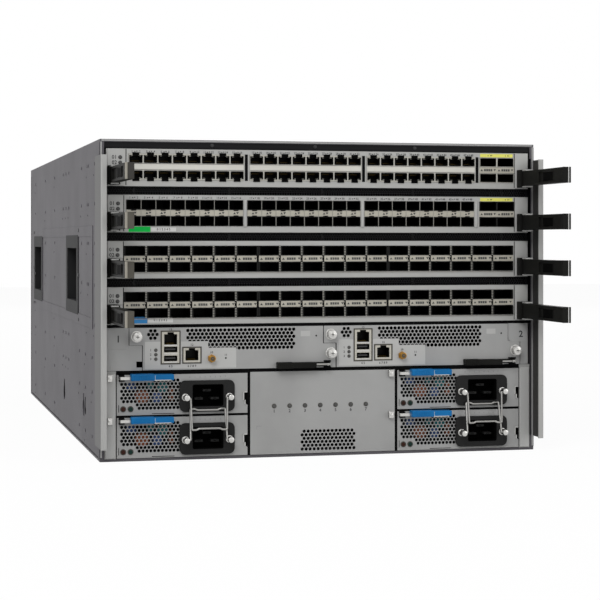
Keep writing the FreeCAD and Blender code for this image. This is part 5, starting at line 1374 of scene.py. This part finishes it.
def side_rivets(side, word):
    """Rivet heads and dimples down the side, two seams, two key slots and the fold at the front."""
    x = side * HALF
    spots = [(FACE_Y + back, z) for backs, levels in RIVETS for back in backs for z in levels]
    heads = repeated(disc((x + side * 0.2, 0, 0), 1.7, 0.7, "X", 16, 0.25), [(0, y, z) for y, z in spots])
    finished(heads, f"side_rivets_{word}", "chassis", "panel_paint", SIDE)
    # The dimples are dark discs of painted shade.
    marks = repeated(disc((x + side * 0.03, 0, 0), 1.0, 0.2, "X", 14, 0),
                     [(0, y + 8.0, z - 11.0) for y, z in spots[::2]])
    finished(marks, f"side_dimples_{word}", "chassis", "panel_paint", SHADE_BLACK)
    # The seams and key slots are painted shade.
    seams = [block((x - 0.3, FACE_Y + 763.5, 4.0), (x + 0.3, FACE_Y + 764.5, 300.0)),
             block((x - 0.3, FACE_Y + 3.0, 2.6), (x + 0.3, FACE_Y + 763.0, 3.3))]
    slots = [disc((x, FACE_Y + back, 38.0), 4.0, 0.3, "X", 24, 0) for back in KEY_SLOTS]
    necks = [block((x - 0.15, FACE_Y + back - 2.0, 38.0), (x + 0.15, FACE_Y + back + 2.0, 52.0))
             for back in KEY_SLOTS]
    finished(joined(seams + slots + necks), f"side_slots_{word}", "chassis", "panel_paint", PAINTED_SHADE)
    x0, x1 = sorted((x, x + side * 0.5))
    flange = block((x0, FACE_Y + 0.3, 3.0), (x1, FACE_Y + 9.0, 306.0), 0.2, 1)
    finished(flange, f"side_front_fold_{word}", "chassis", "panel_paint", SIDE)


def top_cover():
    """Screws and a lap seam on the top."""
    heads = repeated(disc((0, 0, TOP_Z + 0.2), 2.6, 0.7, "Z", 20, 0.3), [(x, y, 0) for x, y in TOP_SCREWS])
    finished(heads, "top_screws", "chassis", "panel_paint", SCREW)
    # The lap seam is painted shade.
    seam = block((-216.0, -96.6, TOP_Z - 0.2), (216.0, -95.8, TOP_Z + 0.12))
    finished(seam, "top_seam", "chassis", "panel_paint", PAINTED_SHADE)


def rear_details():
    """Finger guards over the rotors with their screws, and a lamp on each fan tray."""
    plane = REAR_Y + 2.2
    for n in (1, 2, 3):
        low, high = limits(f"fan_tray_{n}")
        middle = (low[0] + high[0]) / 2
        rings, bolts = [], []
        for z in ROTORS_UP:
            for radius in [GUARD - GUARD_STEP * k for k in range(GUARD_HOOPS)]:
                inner = ring((middle, z), radius - 1.2, 56)[::-1]
                rings.append(cut_sheet(ring((middle, z), radius, 56), [inner], plane - 0.8, 0.9, 0.25))
            rings += [block((middle - wide, plane - 1.4, z - tall), (middle + wide, plane - 0.7, z + tall),
                            0.15, 1)
                      for wide, tall in ((58.0, 0.6), (0.6, 58.0))]
            bolts += [disc((middle + sx * FAN_BOLT, plane + 0.2, z + sz * FAN_BOLT), 3.0, 1.4, "Y", 20, 0.4)
                      for sx in (-1, 1) for sz in (-1, 1)]
        finished(joined(rings), f"finger_guard_{n}", f"fan_tray_{n}", "cage_metal", NICKEL)
        finished(joined(bolts), f"fan_screws_{n}", f"fan_tray_{n}", "cage_metal", SCREW)
        lens = disc((middle, plane + 0.1, FAN_LAMP_UP), 2.2, 0.8, "Y", 20, 0.3)
        finished(lens, f"fan_lamp_{n}", f"fan_tray_{n}", "inlet_black", LENS)


status_face()
filler_faces()
dark_seams()
slot_baffles()
lintel_trim()
column_trim()
fan_baffles()
for side, word in ((-1, "left"), (1, "right")):
    side_cups(side, word)
    side_rivets(side, word)
top_cover()
rear_details()

# ---------------------------------------------------------------- the room


def seen_directly(tree):
    """One for rays that come from the camera, a mirror or glass."""
    path = add(tree, "ShaderNodeLightPath")
    seen = path.outputs["Is Camera Ray"]
    for other in ("Is Glossy Ray", "Is Transmission Ray"):
        seen = add(tree, "ShaderNodeMath", {0: seen, 1: path.outputs[other]}, operation="MAXIMUM").outputs[0]
    return seen


def seen_white(name, colour, share):
    """A pale surface that the camera, mirrors and glass see near white, and that still takes shadows."""
    made = bpy.data.materials.new(name)
    made.use_nodes = True
    tree = made.node_tree
    tree.nodes.clear()
    matt = add(tree, "ShaderNodeBsdfDiffuse", {"Color": linear(colour), "Roughness": 1.0})
    white = add(tree, "ShaderNodeEmission", {"Color": linear("#ffffff"), "Strength": 1.0})
    part = add(tree, "ShaderNodeMath", {0: seen_directly(tree), 1: share}, operation="MULTIPLY")
    mixed = add(tree, "ShaderNodeMixShader", {0: part.outputs[0], 1: matt.outputs[0], 2: white.outputs[0]})
    add(tree, "ShaderNodeOutputMaterial", {"Surface": mixed.outputs[0]})
    return made


def lamp(name, place, aim, size, power):
    """A soft box that looks at a point; places are in metres and power in watts."""
    light = bpy.data.lights.new(name, "AREA")
    light.shape = "SQUARE"
    light.size = size
    light.energy = power
    holder = bpy.data.objects.new(name, light)
    bpy.context.scene.collection.objects.link(holder)
    holder.location = place
    holder.rotation_euler = (Vector(aim) - Vector(place)).to_track_quat("-Z", "Y").to_euler()
    return holder


def world_light(strength):
    """White behind the object, and an even grey light round it."""
    world = bpy.data.worlds.new("studio")
    bpy.context.scene.world = world
    world.use_nodes = True
    tree = world.node_tree
    tree.nodes.clear()
    level = ranged(tree, seen_directly(tree), low=strength)
    sky = add(tree, "ShaderNodeBackground", {"Color": linear("#ffffff"), "Strength": level})
    add(tree, "ShaderNodeOutputWorld", {"Surface": sky.outputs[0]})


fresh()
bpy.ops.mesh.primitive_plane_add(size=12.0, location=(0, 0, 0))
floor = bpy.context.object
floor.name = "studio_floor"
floor.data.materials.append(seen_white("pale_floor", "#f2f2f2", 0.95))

MIDDLE = (0.0, FACE_Y * MM, 0.5 * TOP_Z * MM)
lamp("key_soft_box", (-1.1, -2.6, 2.1), MIDDLE, 1.6, 45)
lamp("fill_soft_box", (1.9, -2.2, 1.0), MIDDLE, 1.8, 15)
lamp("side_soft_box", (-2.6, 0.4, 1.2), (-0.2, 0.0, 0.15), 1.8, 13)
lamp("rear_soft_box", (0.8, 2.8, 1.6), (0.0, 0.3, 0.15), 1.8, 30)
world_light(0.37)

bpy.context.scene.view_settings.view_transform = "Standard"

view = bpy.data.cameras.new("studio_camera")
view.sensor_width = 36.0
view.lens = 104.66
view.shift_y = -0.0981
view.clip_end = 20.0
eye = bpy.data.objects.new("studio_camera", view)
bpy.context.scene.collection.objects.link(eye)
eye.location = (-0.42525, -2.05267, 0.21122)
eye.rotation_euler = (math.radians(90), 0, math.radians(-13.575))
bpy.context.scene.camera = eye
